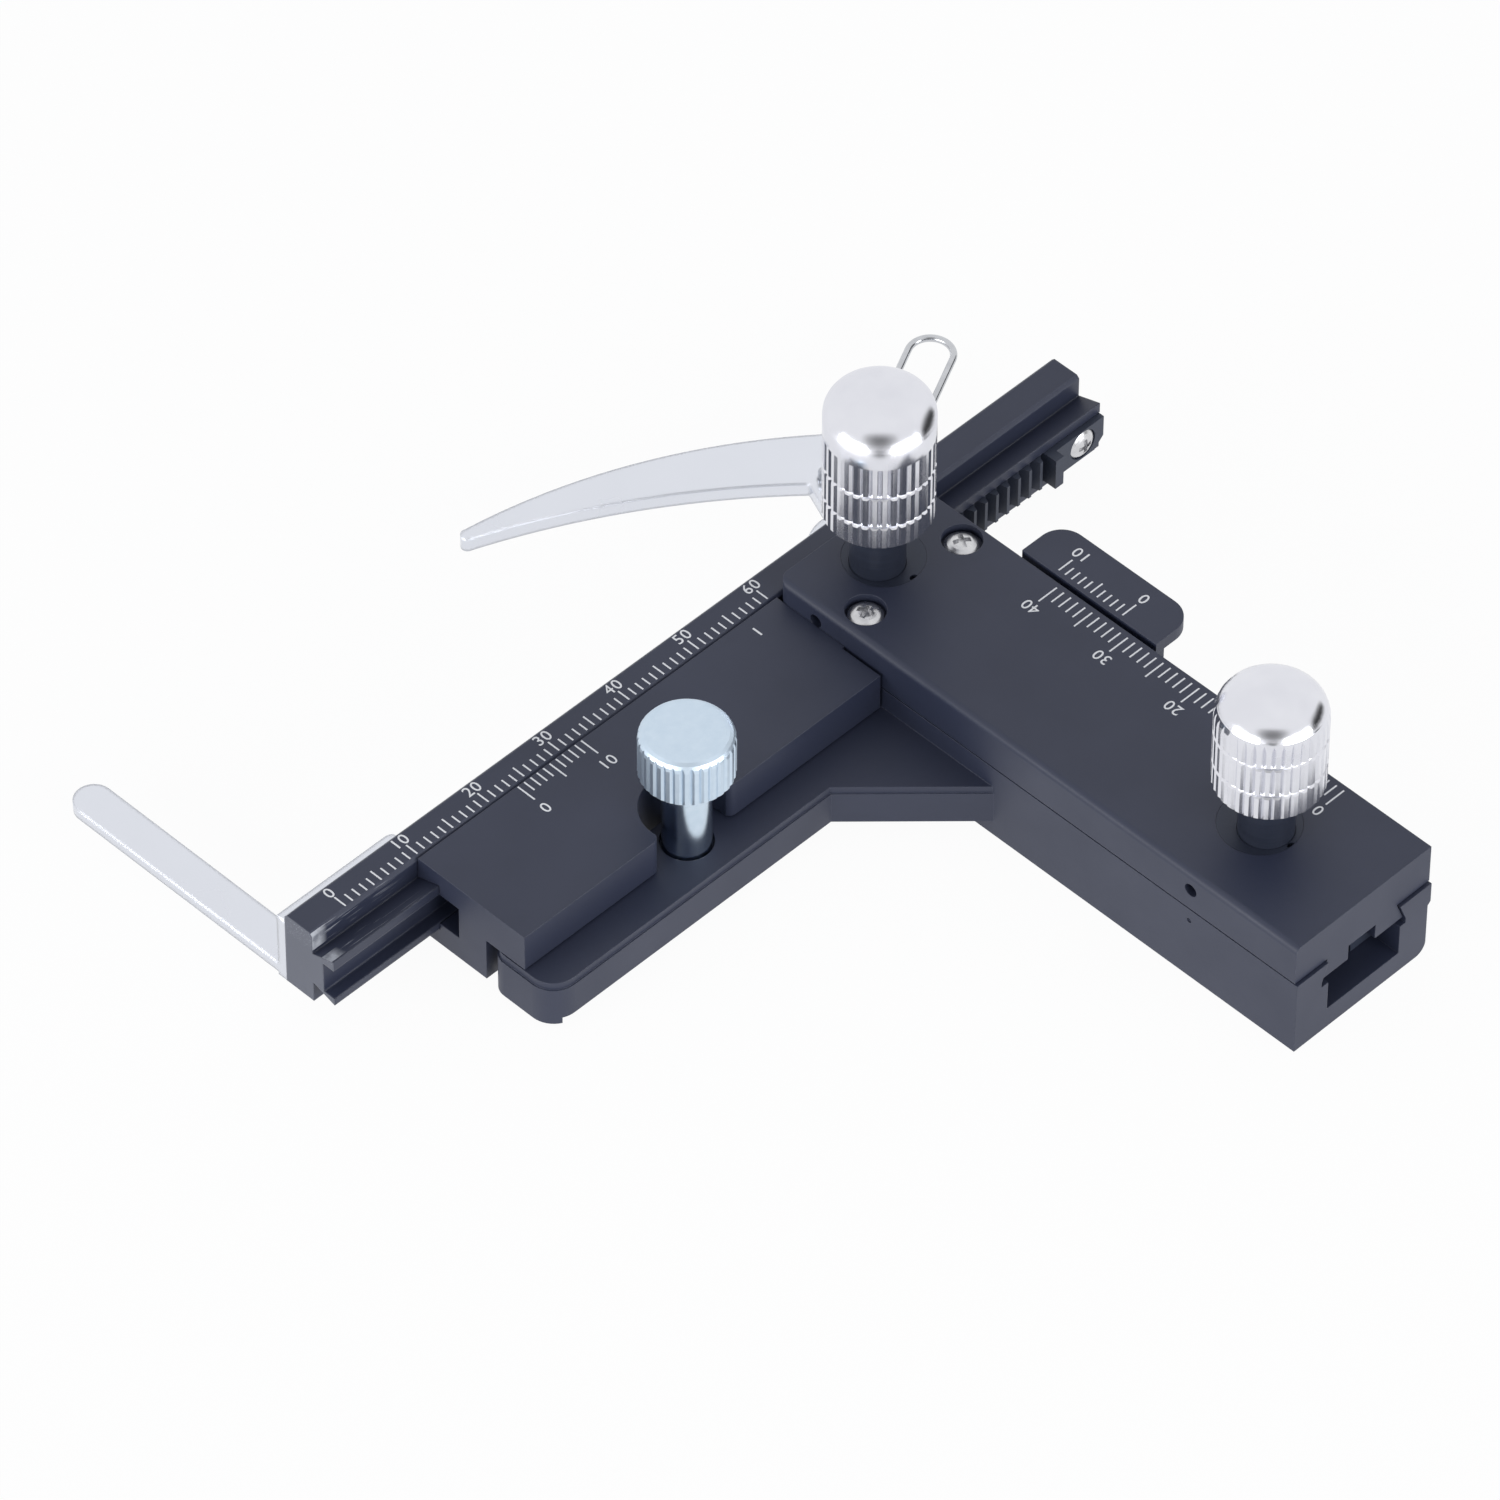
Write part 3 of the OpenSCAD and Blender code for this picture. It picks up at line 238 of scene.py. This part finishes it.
# %% [markdown]
# ### The bar's worn end
# The bar is pushed in and out of the carriage many times. Its side above the rail is scratched along its
# length, down to bright metal, and its last two millimetres are rubbed bare in patches, where fingers and
# the carriage meet it. Scratches are a noise that is stretched about 30 times along the bar. Masks made from
# the place on the bar, in millimetres, keep both off the top face, whose print is still good.

# %% Worn anodised bar
SCRATCH_MM = 0.13
SCRATCH_STRETCH = 0.03
BAR_END_X_MM = -38.76
SIDE_TOP_MM = 9.9
SIDE_FLOOR_MM = 7.6
SIDE_FRONT_MM = 11.4
BARE_LENGTH_MM = 2.1
# The bar's end face is made evenly paler by this share.
END_FACE_PALER_SHARE = 0.14
SCRATCHED_LENGTH_MM = 14
# The bar's paler edge band is this wide: partly rubbed wear, partly a painted highlight.
BAR_EDGE_WEAR_AND_HIGHLIGHT_MM = 0.3
SCRATCH_FROM = 0.62
SCRATCH_FULL = 0.68
SCRATCH_SHARE = 0.7
BARE_SHARE = (0.35, 0.85)
BARE_FROM = 0.35
BARE_FULL = 0.55
END_FACE_MM = 0.03
BARE_METAL = "#c4c8d0"


def compare(tree, value, limit_mm, operation):
    """1 where a place in metres is past a limit, else 0."""
    return add(tree, "Math", {0: value, 1: limit_mm * MM}, operation=operation)


def worn_bar(tree, place):
    sockets = anodised(tree, place, BAR_EDGE_WEAR_AND_HIGHLIGHT_MM)
    x, y, z = split(tree, place)
    above_floor = compare(tree, z, SIDE_FLOOR_MM, "GREATER_THAN")
    side = multiply(tree, compare(tree, z, SIDE_TOP_MM, "LESS_THAN"), above_floor)
    side = multiply(tree, side, compare(tree, y, SIDE_FRONT_MM, "GREATER_THAN"))
    stretched = add(tree, "Mapping", {"Vector": place, "Scale": (SCRATCH_STRETCH, 1.0, 1.0)})
    lines = noise(tree, stretched, SCRATCH_MM, 2.0)
    scratches = span(tree, lines, 0.0, 1.0, SCRATCH_FROM, SCRATCH_FULL)
    far_end = (BAR_END_X_MM + SCRATCHED_LENGTH_MM) * MM
    fading = span(tree, x, SCRATCH_SHARE, 0.0, BAR_END_X_MM * MM, far_end)
    scratches = multiply(tree, scratches, fading)
    bare_end = (BAR_END_X_MM + BARE_LENGTH_MM) * MM
    bare = span(tree, x, 1.0, 0.0, bare_end - BARE_LENGTH_MM / 2 * MM, bare_end)
    bare = multiply(tree, bare, compare(tree, x, BAR_END_X_MM + END_FACE_MM, "GREATER_THAN"))
    patches = span(tree, noise(tree, place, RUB_MM, 4.0), *BARE_SHARE, BARE_FROM, BARE_FULL)
    bare = multiply(tree, bare, patches)
    worn = add(tree, "Math", {0: scratches, 1: bare}, operation="MAXIMUM")
    worn = multiply(tree, worn, side)
    # The whole end face is made evenly paler.
    end_face = compare(tree, x, BAR_END_X_MM + END_FACE_MM, "LESS_THAN")
    end_face = multiply(tree, end_face, END_FACE_PALER_SHARE)
    worn = add(tree, "Math", {0: worn, 1: end_face}, operation="MAXIMUM")
    sockets["Base Color"] = blend(tree, worn, sockets["Base Color"], linear(BARE_METAL))
    return sockets


worn_finish = finish("worn_black_anodised_aluminium", worn_bar)
print("scratches reach", SCRATCHED_LENGTH_MM, "mm from the worn end")

# %% [markdown]
# ## Black moulded nylon
# The toothed strips are separate from the aluminium and duller. Moulded nylon has a slightly waxy, even
# surface, so its gloss is low and its colour is as cool a near-black as the metal's.

# %% Black moulded nylon
NYLON = "#262c3b"
NYLON_WORN = "#323a4c"
MOTTLE_MM = 1.6
SKIN_MM = 0.12
SKIN_STRENGTH = 0.15
SKIN_DEPTH_MM = 0.02
NYLON_ROUGHNESS = 0.55
NYLON_IOR = 1.53


def nylon(tree, place):
    mottle = noise(tree, place, MOTTLE_MM, 5.0)
    skin = noise(tree, place, SKIN_MM, 2.0)
    return {
        "Base Color": blend(tree, mottle, linear(NYLON), linear(NYLON_WORN)),
        "Roughness": NYLON_ROUGHNESS,
        "IOR": NYLON_IOR,
        "Normal": bump(tree, skin, SKIN_STRENGTH, SKIN_DEPTH_MM),
    }


finishes["black_nylon"] = finish("black_moulded_nylon", nylon)
print("nylon skin has features of", SKIN_MM, "mm")

# %% [markdown]
# ## Blackened turned steel
# Shafts and bushes are steel, turned on a lathe and blackened in hot salts. The oxide is thin, so the fine
# rings left by the cutting tool stay visible. A noise that is stretched across the axis gives them.

# %% Blackened turned steel
OXIDE = "#282d3b"
OXIDE_SHEEN = "#363c4c"
TOOL_MARK_MM = 0.25
ROUND_STRETCH = 0.04
OXIDE_GLOSS = (0.34, 0.46)
OXIDE_METAL = 0.35
MARK_STRENGTH = 0.2
MARK_DEPTH_MM = 0.01


def blackened(tree, place):
    stretch = (ROUND_STRETCH, ROUND_STRETCH, 1.0)
    stretched = add(tree, "Mapping", {"Vector": place, "Scale": stretch})
    rings = noise(tree, stretched, TOOL_MARK_MM, 3.0)
    return {
        "Base Color": blend(tree, rings, linear(OXIDE), linear(OXIDE_SHEEN)),
        "Roughness": span(tree, rings, *OXIDE_GLOSS),
        "Metallic": OXIDE_METAL,
        "Normal": bump(tree, rings, MARK_STRENGTH, MARK_DEPTH_MM),
    }


finishes["black_oxide"] = finish("blackened_turned_steel", blackened)
print("tool marks", TOOL_MARK_MM, "mm apart")

# %% [markdown]
# ## Chromed brass
# The two big knobs are turned brass under bright chrome. Chrome is a near-mirror with a cool tint. Handling
# and the plating bath leave it slightly clouded, so its gloss drifts a little instead of being even. The
# knurled wall is duller than the buffed top. Buffing has also softened the shoulder above the flutes: the
# shader's normal leans up there, so that the wall mirrors the pale table instead of the black slab. The
# same buffing rounds the top edge, so its normal is blended over a wider band than the mesh's own curve.

# %% Chromed brass
CHROME = "#e6e7ed"
CHROME_CLOUD = "#d9dae2"
KNURL_DULL = 0.12
WALL_BELOW = 0.05
TOP_ABOVE = 0.4
CHROME_GLOSS = (0.09, 0.16)
CLOUDING_MM = 3.5
RIPPLE_MM = 1.1
RIPPLE_STRENGTH = 0.06
RIPPLE_DEPTH_MM = 0.05
# The lean starts at the top of the far knob's flutes, is full at the middle height and ends near its top.
LEAN_START = 0.04
LEAN = 0.5
LEAN_LOW_MM = 32.0
LEAN_MID_MM = 34.4
LEAN_TOP_MM = 36.9
# The buffed edge: from which height, over what width, and between which upward tilts it sets in.
BUFFED_ABOVE_MM = 30.9
BUFFED_EDGE_MM = 1.6
BUFFED_TILT = (0.02, 0.2)


def chrome(tree, place):
    clouding = noise(tree, place, CLOUDING_MM, 5.0)
    facing = add(tree, "NewGeometry", out="Normal")
    upright = split(tree, facing)[2]
    dull = span(tree, upright, KNURL_DULL, 0.0, WALL_BELOW, TOP_ABOVE)
    rough = add(tree, "Math", {0: span(tree, clouding, *CHROME_GLOSS), 1: dull}, operation="ADD")
    height = split(tree, place)[2]
    buffed = compare(tree, height, BUFFED_ABOVE_MM, "GREATER_THAN")
    buffed = multiply(tree, buffed, span(tree, upright, 0.0, 1.0, *BUFFED_TILT))
    rounded = add(tree, "Bevel", {"Radius": BUFFED_EDGE_MM * MM}, samples=8)
    facing = add(tree, "Mix", {0: buffed, 4: facing, 5: rounded}, out=1, data_type="VECTOR")
    lean = span(tree, height, LEAN_START, LEAN, LEAN_LOW_MM * MM, LEAN_MID_MM * MM)
    lean = multiply(tree, lean, span(tree, height, 1.0, 0.0, LEAN_MID_MM * MM, LEAN_TOP_MM * MM))
    lift = add(tree, "CombineXYZ", {"Z": lean})
    above = compare(tree, height, LEAN_LOW_MM, "GREATER_THAN")
    lift = add(tree, "VectorMath", {0: lift, "Scale": above}, operation="SCALE")
    leaning = add(tree, "VectorMath", {0: facing, 1: lift}, operation="ADD")
    leaning = add(tree, "VectorMath", {0: leaning}, operation="NORMALIZE")
    ripple = noise(tree, place, RIPPLE_MM, 2.0)
    return {
        "Base Color": blend(tree, clouding, linear(CHROME), linear(CHROME_CLOUD)),
        "Roughness": rough,
        "Metallic": 1.0,
        "Normal": bump(tree, ripple, RIPPLE_STRENGTH, RIPPLE_DEPTH_MM, Normal=leaning),
    }


finishes["chrome_knob"] = finish("bright_chrome_plate", chrome)
print("buffed over", BUFFED_EDGE_MM, "mm round the top edge")

# %% [markdown]
# ## Bright zinc plate
# The clamping screw and the small screws are steel with a passivated zinc coat. Zinc looks softer than
# chrome and a little blue, with a fine crystalline bloom. The clamping screw's thread is only drawn as
# relief, with the 0.7 mm pitch of an M4 thread, from where its shank stands in the plate down to its tip.
# The shank is turned smooth, so it mirrors the table; the head is duller.

# %% Bright zinc plate
THREAD_PITCH_MM = 0.7
THREAD_TOP_MM = 3.9
HEAD_FLOOR_MM = 15.4
SHANK_ROUGHNESS = 0.2
HEAD_ROUGHNESS = 0.42
THREAD_STRENGTH = 0.8
THREAD_DEPTH_MM = 0.28
ZINC_BLOOM_MM = 0.9
BLOOM_DULL = 0.1
BLOOM_STRENGTH = 0.25
BLOOM_DEPTH_MM = 0.02
BLUE_ZINC = "#d3e1ee"
BLUE_BLOOM = "#c2d3e3"
CLEAR_ZINC = "#dcdcde"
CLEAR_BLOOM = "#bfc0c4"
SCREW_ROUGHNESS = 0.24


def zinc(tree, place, hex_code, hex_bloom, roughness):
    bloom = noise(tree, place, ZINC_BLOOM_MM, 6.0)
    return {
        "Base Color": blend(tree, bloom, linear(hex_code), linear(hex_bloom)),
        "Roughness": span(tree, bloom, roughness, roughness + BLOOM_DULL),
        "Metallic": 1.0,
        "Normal": bump(tree, bloom, BLOOM_STRENGTH, BLOOM_DEPTH_MM),
    }


def small_screw(tree, place):
    return zinc(tree, place, CLEAR_ZINC, CLEAR_BLOOM, SCREW_ROUGHNESS)


def clamping_screw(tree, place):
    sockets = zinc(tree, place, BLUE_ZINC, BLUE_BLOOM, HEAD_ROUGHNESS)
    depth = split(tree, place)[2]
    half = THREAD_PITCH_MM / 2 * MM
    turns = add(tree, "Math", {0: depth, 1: half}, operation="PINGPONG")
    low = compare(tree, depth, THREAD_TOP_MM, "LESS_THAN")
    turns = multiply(tree, multiply(tree, turns, 1 / half), low)
    bloom = sockets["Normal"]
    sockets["Normal"] = bump(tree, turns, THREAD_STRENGTH, THREAD_DEPTH_MM, Normal=bloom)
    head = compare(tree, depth, HEAD_FLOOR_MM, "GREATER_THAN")
    sockets["Roughness"] = span(tree, head, SHANK_ROUGHNESS, HEAD_ROUGHNESS, 0.0, 1.0)
    return sockets


finishes["zinc_plated"] = finish("blue_passivated_zinc", clamping_screw)
finishes["zinc_screw"] = finish("clear_passivated_zinc", small_screw)
print("thread drawn at", THREAD_PITCH_MM, "mm pitch")

# %% [markdown]
# ## Nickel-plated sheet and spring wire
# The slide holder and its fingers are stamped sheet, barrel-plated with nickel. Large flat faces look pale
# and even, with faint water marks, and tumbling has rounded their edges: the shader's normal is bent over
# the last 0.75 mm, which draws a dark and a bright line along them. The loop and the coil are drawn spring
# wire, smoother and a little darker.

# %% Nickel-plated sheet and spring wire
SHEET_EDGE_MM = 0.75
WIRE_EDGE_MM = 0.05
NICKEL = "#dfe2ea"
NICKEL_MARK = "#dadde5"
SHEET_MARK_MM = 9
SHEET_ROUGHNESS = 0.22
WIRE = "#d5d7db"
WIRE_MARK = "#b4b6bb"
WIRE_MARK_MM = 1.5
WIRE_ROUGHNESS = 0.16
MARK_DULL = 0.06
ORANGE_PEEL_MM = 0.3
PEEL_STRENGTH = 0.08
PEEL_DEPTH_MM = 0.02


def nickel(tree, place, hex_code, hex_mark, roughness, mark_mm, edge_mm):
    marks = noise(tree, place, mark_mm, 3.0)
    rounded = add(tree, "Bevel", {"Radius": edge_mm * MM}, samples=6)
    peel = noise(tree, place, ORANGE_PEEL_MM, 3.0)
    return {
        "Base Color": blend(tree, marks, linear(hex_code), linear(hex_mark)),
        "Roughness": span(tree, marks, roughness, roughness + MARK_DULL),
        "Metallic": 1.0,
        "Normal": bump(tree, peel, PEEL_STRENGTH, PEEL_DEPTH_MM, Normal=rounded),
    }


def sheet(tree, place):
    return nickel(tree, place, NICKEL, NICKEL_MARK, SHEET_ROUGHNESS, SHEET_MARK_MM, SHEET_EDGE_MM)


def wire(tree, place):
    return nickel(tree, place, WIRE, WIRE_MARK, WIRE_ROUGHNESS, WIRE_MARK_MM, WIRE_EDGE_MM)


finishes["bright_sheet"] = finish("nickel_plated_sheet", sheet)
finishes["spring_steel"] = finish("drawn_spring_wire", wire)
print("sheet edges rounded over", SHEET_EDGE_MM, "mm in the shader")

# %% Put each finish on its solids
for part in frame["record"]["subparts"]:
    solid = frame["nodes"][part["node"]]
    solid.data.materials.clear()
    solid.data.materials.append(finishes[part["material_slot"]])
frame["nodes"]["x_bar"].data.materials[0] = worn_finish

# %% [markdown]
# ## Printed scales
# The divisions are white ink, screen-printed on the black metal. Ink stands 0.015 mm proud, so each division
# is a very thin strip of mesh lying on its face. All strips of one scale are one piece, and each piece rides
# on the body that its metal belongs to: that lets a vernier slide along its scale.

# %% White screen-printing ink
INK = "#f8f9fb"
INK_THIN = "#e6e8ec"
INK_MM = 0.015
COVER_MM = 0.35
INK_ROUGHNESS = 0.5
COVER_STRENGTH = 0.1
COVER_DEPTH_MM = 0.01


def white_ink(tree, place):
    cover = noise(tree, place, COVER_MM, 4.0)
    return {
        "Base Color": blend(tree, cover, linear(INK), linear(INK_THIN)),
        "Roughness": INK_ROUGHNESS,
        "Normal": bump(tree, cover, COVER_STRENGTH, COVER_DEPTH_MM),
    }


ink = finish("white_screen_ink", white_ink)
print("ink stands", INK_MM, "mm proud")

# %% Helpers for printed pieces
# Ink reaches a third of its thickness into the metal's face, so that no gap shows under it.
SUNK_SHARE = 1 / 3
INK_SPREAD_MM = 0.008
# How much of the typeface's size a numeral is high, how far apart two stand, and half their thickness.
CAP_SHARE = 0.73
DIGIT_SPACING = 1.12
HALF_THICK_MM = 0.01005


def strip(verts, faces, centre, size, top):
    """Adds a thin block of ink to the lists: centre and size are in mm, in the plane of the printed face."""
    first = len(verts)
    for z in (top - INK_MM * SUNK_SHARE, top + INK_MM):
        for sx, sy in ((-1, -1), (1, -1), (1, 1), (-1, 1)):
            verts.append((centre[0] + sx * size[0] / 2, centre[1] + sy * size[1] / 2, z))
    for f in ((3, 2, 1, 0), (4, 5, 6, 7), (0, 1, 5, 4), (1, 2, 6, 5), (2, 3, 7, 6), (3, 0, 4, 7)):
        faces.append(tuple(first + i for i in f))


def printed(name, verts, faces, body):
    """Makes the ink piece, lets it ride on a body and tells its size."""
    mesh = bpy.data.meshes.new(name)
    mesh.from_pydata([tuple(c * MM for c in v) for v in verts], [], faces)
    mesh.materials.append(ink)
    piece = bpy.data.objects.new(name, mesh)
    scene.collection.objects.link(piece)
    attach(piece, body)
    print(name, "rides on", body, "with", len(faces), "faces")


def digits(verts, faces, words, centre, height, turn_deg, top):
    """Adds numerals to the lists. They are set in Blender's own plain typeface and laid flat on the face."""
    text = bpy.data.curves.new("numeral", "FONT")
    text.body = words
    text.align_x = "CENTER"
    text.align_y = "CENTER"
    text.size = height / CAP_SHARE
    text.space_character = DIGIT_SPACING
    text.offset = INK_SPREAD_MM
    text.extrude = HALF_THICK_MM
    setter = bpy.data.objects.new("numeral", text)
    scene.collection.objects.link(setter)
    bpy.context.view_layer.update()
    shape = setter.to_mesh()
    turned = Matrix.Rotation(math.radians(turn_deg), 4, "Z")
    low = [min(v.co[i] for v in shape.vertices) for i in (0, 1)]
    high = [max(v.co[i] for v in shape.vertices) for i in (0, 1)]
    middle = Vector(((low[0] + high[0]) / 2, (low[1] + high[1]) / 2, 0))
    first = len(verts)
    for v in shape.vertices:
        p = turned @ (v.co - middle)
        verts.append((centre[0] + p.x, centre[1] + p.y, top + INK_MM * SUNK_SHARE + p.z))
    for f in shape.polygons:
        faces.append(tuple(first + i for i in f.vertices))
    setter.to_mesh_clear()
    bpy.data.objects.remove(setter)


LINE_MM = 0.18
DIGIT_MM = 1.4
print("lines are", LINE_MM, "mm wide, numbers", DIGIT_MM, "mm high")

# %% [markdown]
# ### The bar's scale, 0 to 60
# Every tenth division has a number behind it. Fives and tens are longer, so that the eye can count in
# fives.

# %% Bar scale
BAR_ZERO_MM = -33.66
BAR_LINE_START_MM = 14.62
BAR_TOP_MM = 10.0
BAR_DIGIT_Y_MM = 17.05
BAR_LONG_MM = 1.62
BAR_SHORT_MM = 1.2

verts, faces = [], []
for k in range(0, 61):
    length = BAR_LONG_MM if k % 5 == 0 else BAR_SHORT_MM
    strip(verts, faces, (BAR_ZERO_MM + k, BAR_LINE_START_MM + length / 2), (LINE_MM, length), BAR_TOP_MM)
    if k % 10 == 0:
        digits(verts, faces, str(k), (BAR_ZERO_MM + k, BAR_DIGIT_Y_MM), DIGIT_MM, 0, BAR_TOP_MM)
printed("bar_scale", verts, faces, "x_slide")

# %% [markdown]
# ### The carriage's vernier
# Ten divisions of 0.9 mm. Whichever of them lines up with the bar's scale gives the tenths of a millimetre.
# A lone mark stands further right on the block.

# %% Carriage vernier
VERNIER_STEP_MM = 0.9
CARRIAGE_ZERO_MM = -10.15
CARRIAGE_LINE_START_MM = 14.0
CARRIAGE_DIGIT_Y_MM = 10.0
CARRIAGE_LONG_MM = 2.45
CARRIAGE_SHORT_MM = 1.5
LONE_MARK_PLACE_MM = (22.3, 12.1)
LONE_MARK_SIZE_MM = (0.22, 1.3)

verts, faces = [], []
for k in range(0, 11):
    length = CARRIAGE_LONG_MM if k % 5 == 0 else CARRIAGE_SHORT_MM
    x = CARRIAGE_ZERO_MM + VERNIER_STEP_MM * k
    strip(verts, faces, (x, CARRIAGE_LINE_START_MM - length / 2), (LINE_MM, length), BAR_TOP_MM)
    if k % 10 == 0:
        digits(verts, faces, str(k), (x, CARRIAGE_DIGIT_Y_MM), DIGIT_MM, 0, BAR_TOP_MM)
strip(verts, faces, LONE_MARK_PLACE_MM, LONE_MARK_SIZE_MM, BAR_TOP_MM)
printed("carriage_vernier", verts, faces, "y_slide")

# %% [markdown]
# ### The slab's scale, 0 to 40, and the tab's vernier
# These are read from the side, so their numbers lie on their backs, with their tops towards the bar's zero
# end.

# %% Slab scale and tab vernier
SLAB_ZERO_MM = -47.15
SLAB_LINE_END_MM = 46.35
SLAB_DIGIT_X_MM = 42.5
SLAB_LONG_MM = 2.7
SLAB_SHORT_MM = 1.85
SLAB_TOP_MM = 12.9
TAB_ZERO_MM = -14.63
TAB_LINE_START_MM = 48.2
TAB_DIGIT_X_MM = 51.4
TAB_END_MM = 2.05
TAB_LONG_MM = 1.8
TAB_SHORT_MM = 1.3
TAB_TOP_MM = 13.0

verts, faces = [], []
for k in range(0, 41):
    length = SLAB_LONG_MM if k % 5 == 0 else SLAB_SHORT_MM
    strip(verts, faces, (SLAB_LINE_END_MM - length / 2, SLAB_ZERO_MM + k), (length, LINE_MM), SLAB_TOP_MM)
    if k % 10 == 0:
        digits(verts, faces, str(k), (SLAB_DIGIT_X_MM, SLAB_ZERO_MM + k), DIGIT_MM, 90, SLAB_TOP_MM)
printed("slab_scale", verts, faces, "y_slide")

verts, faces = [], []
for k in range(0, 11):
    length = TAB_SHORT_MM if k % 5 else (TAB_LONG_MM if k == 5 else TAB_END_MM)
    y = TAB_ZERO_MM + VERNIER_STEP_MM * k
    strip(verts, faces, (TAB_LINE_START_MM + length / 2, y), (length, LINE_MM), TAB_TOP_MM)
    if k % 10 == 0:
        digits(verts, faces, str(k), (TAB_DIGIT_X_MM, y), DIGIT_MM, 90, TAB_TOP_MM)
printed("tab_vernier", verts, faces, "base")

# %% [markdown]
# ## Floor and light
# Catalogue pictures of black parts are shot in a white tent: big soft panels all round and a white table.
# The table is a plain white sheet; part of its white is a glow for rays that see it straight, so that it
# stays white in the picture and keeps a faint shadow. The world is the tent. It has three dark places: the
# gap that the camera looks through, the stand below it and a black flag to the right. Chrome needs them:
# without something dark to mirror, a bright knob looks like white plastic. Two wide, low panels left and
# right of the camera light the sides more than the top, and draw the two bright rays on the knobs' edges.

# %% Table
FLOOR_HALF_M = 4
TABLE_GLOW = 0.95
PAPER = "#fbfbfc"
floor_z = cad_box[0][2]
corners = [(x * FLOOR_HALF_M, y * FLOOR_HALF_M, floor_z) for x, y in ((-1, -1), (1, -1), (1, 1), (-1, 1))]
mesh = bpy.data.meshes.new("table_top")
mesh.from_pydata(corners, [], [(0, 1, 2, 3)])
floor = bpy.data.objects.new("table_top", mesh)
scene.collection.objects.link(floor)

material = bpy.data.materials.new("white_table")
material.use_nodes = True
tree = material.node_tree
tree.nodes.clear()


def seen_straight(tree):
    """1 for rays that come from the camera, a mirror or glass, and 0 for light that falls on things."""
    camera_ray = add(tree, "LightPath", out="Is Camera Ray")
    mirror_ray = add(tree, "LightPath", out="Is Glossy Ray")
    glass_ray = add(tree, "LightPath", out="Is Transmission Ray")
    either = add(tree, "Math", {0: camera_ray, 1: mirror_ray}, operation="MAXIMUM")
    return add(tree, "Math", {0: either, 1: glass_ray}, operation="MAXIMUM")


paper = add(tree, "BsdfDiffuse", {"Color": linear(PAPER)})
glow = add(tree, "Emission", {"Color": (1, 1, 1, 1), "Strength": 1.0})
share = multiply(tree, seen_straight(tree), TABLE_GLOW)
add_output(tree, "OutputMaterial", add(tree, "MixShader", {0: share, 1: paper, 2: glow}))
mesh.materials.append(material)
print("table at z =", round(floor_z / MM, 2), "mm")

# %% World and lamps
TENT_LIGHT = 0.55
TENT = "#f3f5fb"
# Each dark place: azimuth, elevation, inner and outer angle in degrees, and how much light is left.
CAMERA_GAP = (225, 46, 6, 30, 0.25)
STAND_GAP = (225, 6, 8, 14, 0.04)
BLACK_FLAG = (328, 6, 20, 27, 0.06)

world = bpy.data.worlds.new("white_tent")
scene.world = world
world.use_nodes = True
tree = world.node_tree
tree.nodes.clear()


def aim(azimuth_deg, elevation_deg):
    """The unit vector to a place in the surroundings."""
    azimuth = math.radians(azimuth_deg)
    elevation = math.radians(elevation_deg)
    flat = Vector((math.cos(azimuth), math.sin(azimuth), 0)) * math.cos(elevation)
    return flat + Vector((0, 0, math.sin(elevation)))


def dark_place(tree, azimuth_deg, elevation_deg, inner_deg, outer_deg, left):
    """A share of the tent's light: less inside a cone, 1 outside it."""
    direction = add(tree, "TexCoord", out="Generated")
    unit = tuple(aim(azimuth_deg, elevation_deg))
    facing = add(tree, "VectorMath", {0: direction, 1: unit}, out="Value", operation="DOT_PRODUCT")
    outer = math.cos(math.radians(outer_deg))
    inner = math.cos(math.radians(inner_deg))
    return span(tree, facing, 1.0, left, outer, inner)


gaps = multiply(tree, dark_place(tree, *CAMERA_GAP), dark_place(tree, *STAND_GAP))
gaps = multiply(tree, gaps, dark_place(tree, *BLACK_FLAG))
tent_light = multiply(tree, gaps, TENT_LIGHT)
tent = add(tree, "Background", {"Color": linear(TENT), "Strength": tent_light})
white = add(tree, "Background", {"Color": (1, 1, 1, 1), "Strength": gaps})
add_output(tree, "OutputWorld", add(tree, "MixShader", {0: seen_straight(tree), 1: tent, 2: white}))


def softbox(name, azimuth_deg, elevation_deg, distance_m, size_m, watts):
    """A wide soft panel that faces the object."""
    data = bpy.data.lights.new(name, "AREA")
    data.shape = "RECTANGLE"
    data.size, data.size_y = size_m
    data.energy = watts
    lamp = bpy.data.objects.new(name, data)
    towards = aim(azimuth_deg, elevation_deg)
    lamp.location = towards * distance_m
    lamp.rotation_euler = (-towards).to_track_quat("-Z", "Y").to_euler()
    scene.collection.objects.link(lamp)


PANEL_M = (1.1, 0.4)
PANEL_WATTS = 8
PANEL_AWAY_M = 1.2
PANEL_UP_DEG = 17
LEFT_DEG = 175
RIGHT_DEG = 275

softbox("left_panel", LEFT_DEG, PANEL_UP_DEG, PANEL_AWAY_M, PANEL_M, PANEL_WATTS)
softbox("right_panel", RIGHT_DEG, PANEL_UP_DEG, PANEL_AWAY_M, PANEL_M, PANEL_WATTS)
print("two panels of", PANEL_M, "m,", PANEL_AWAY_M, "m away")
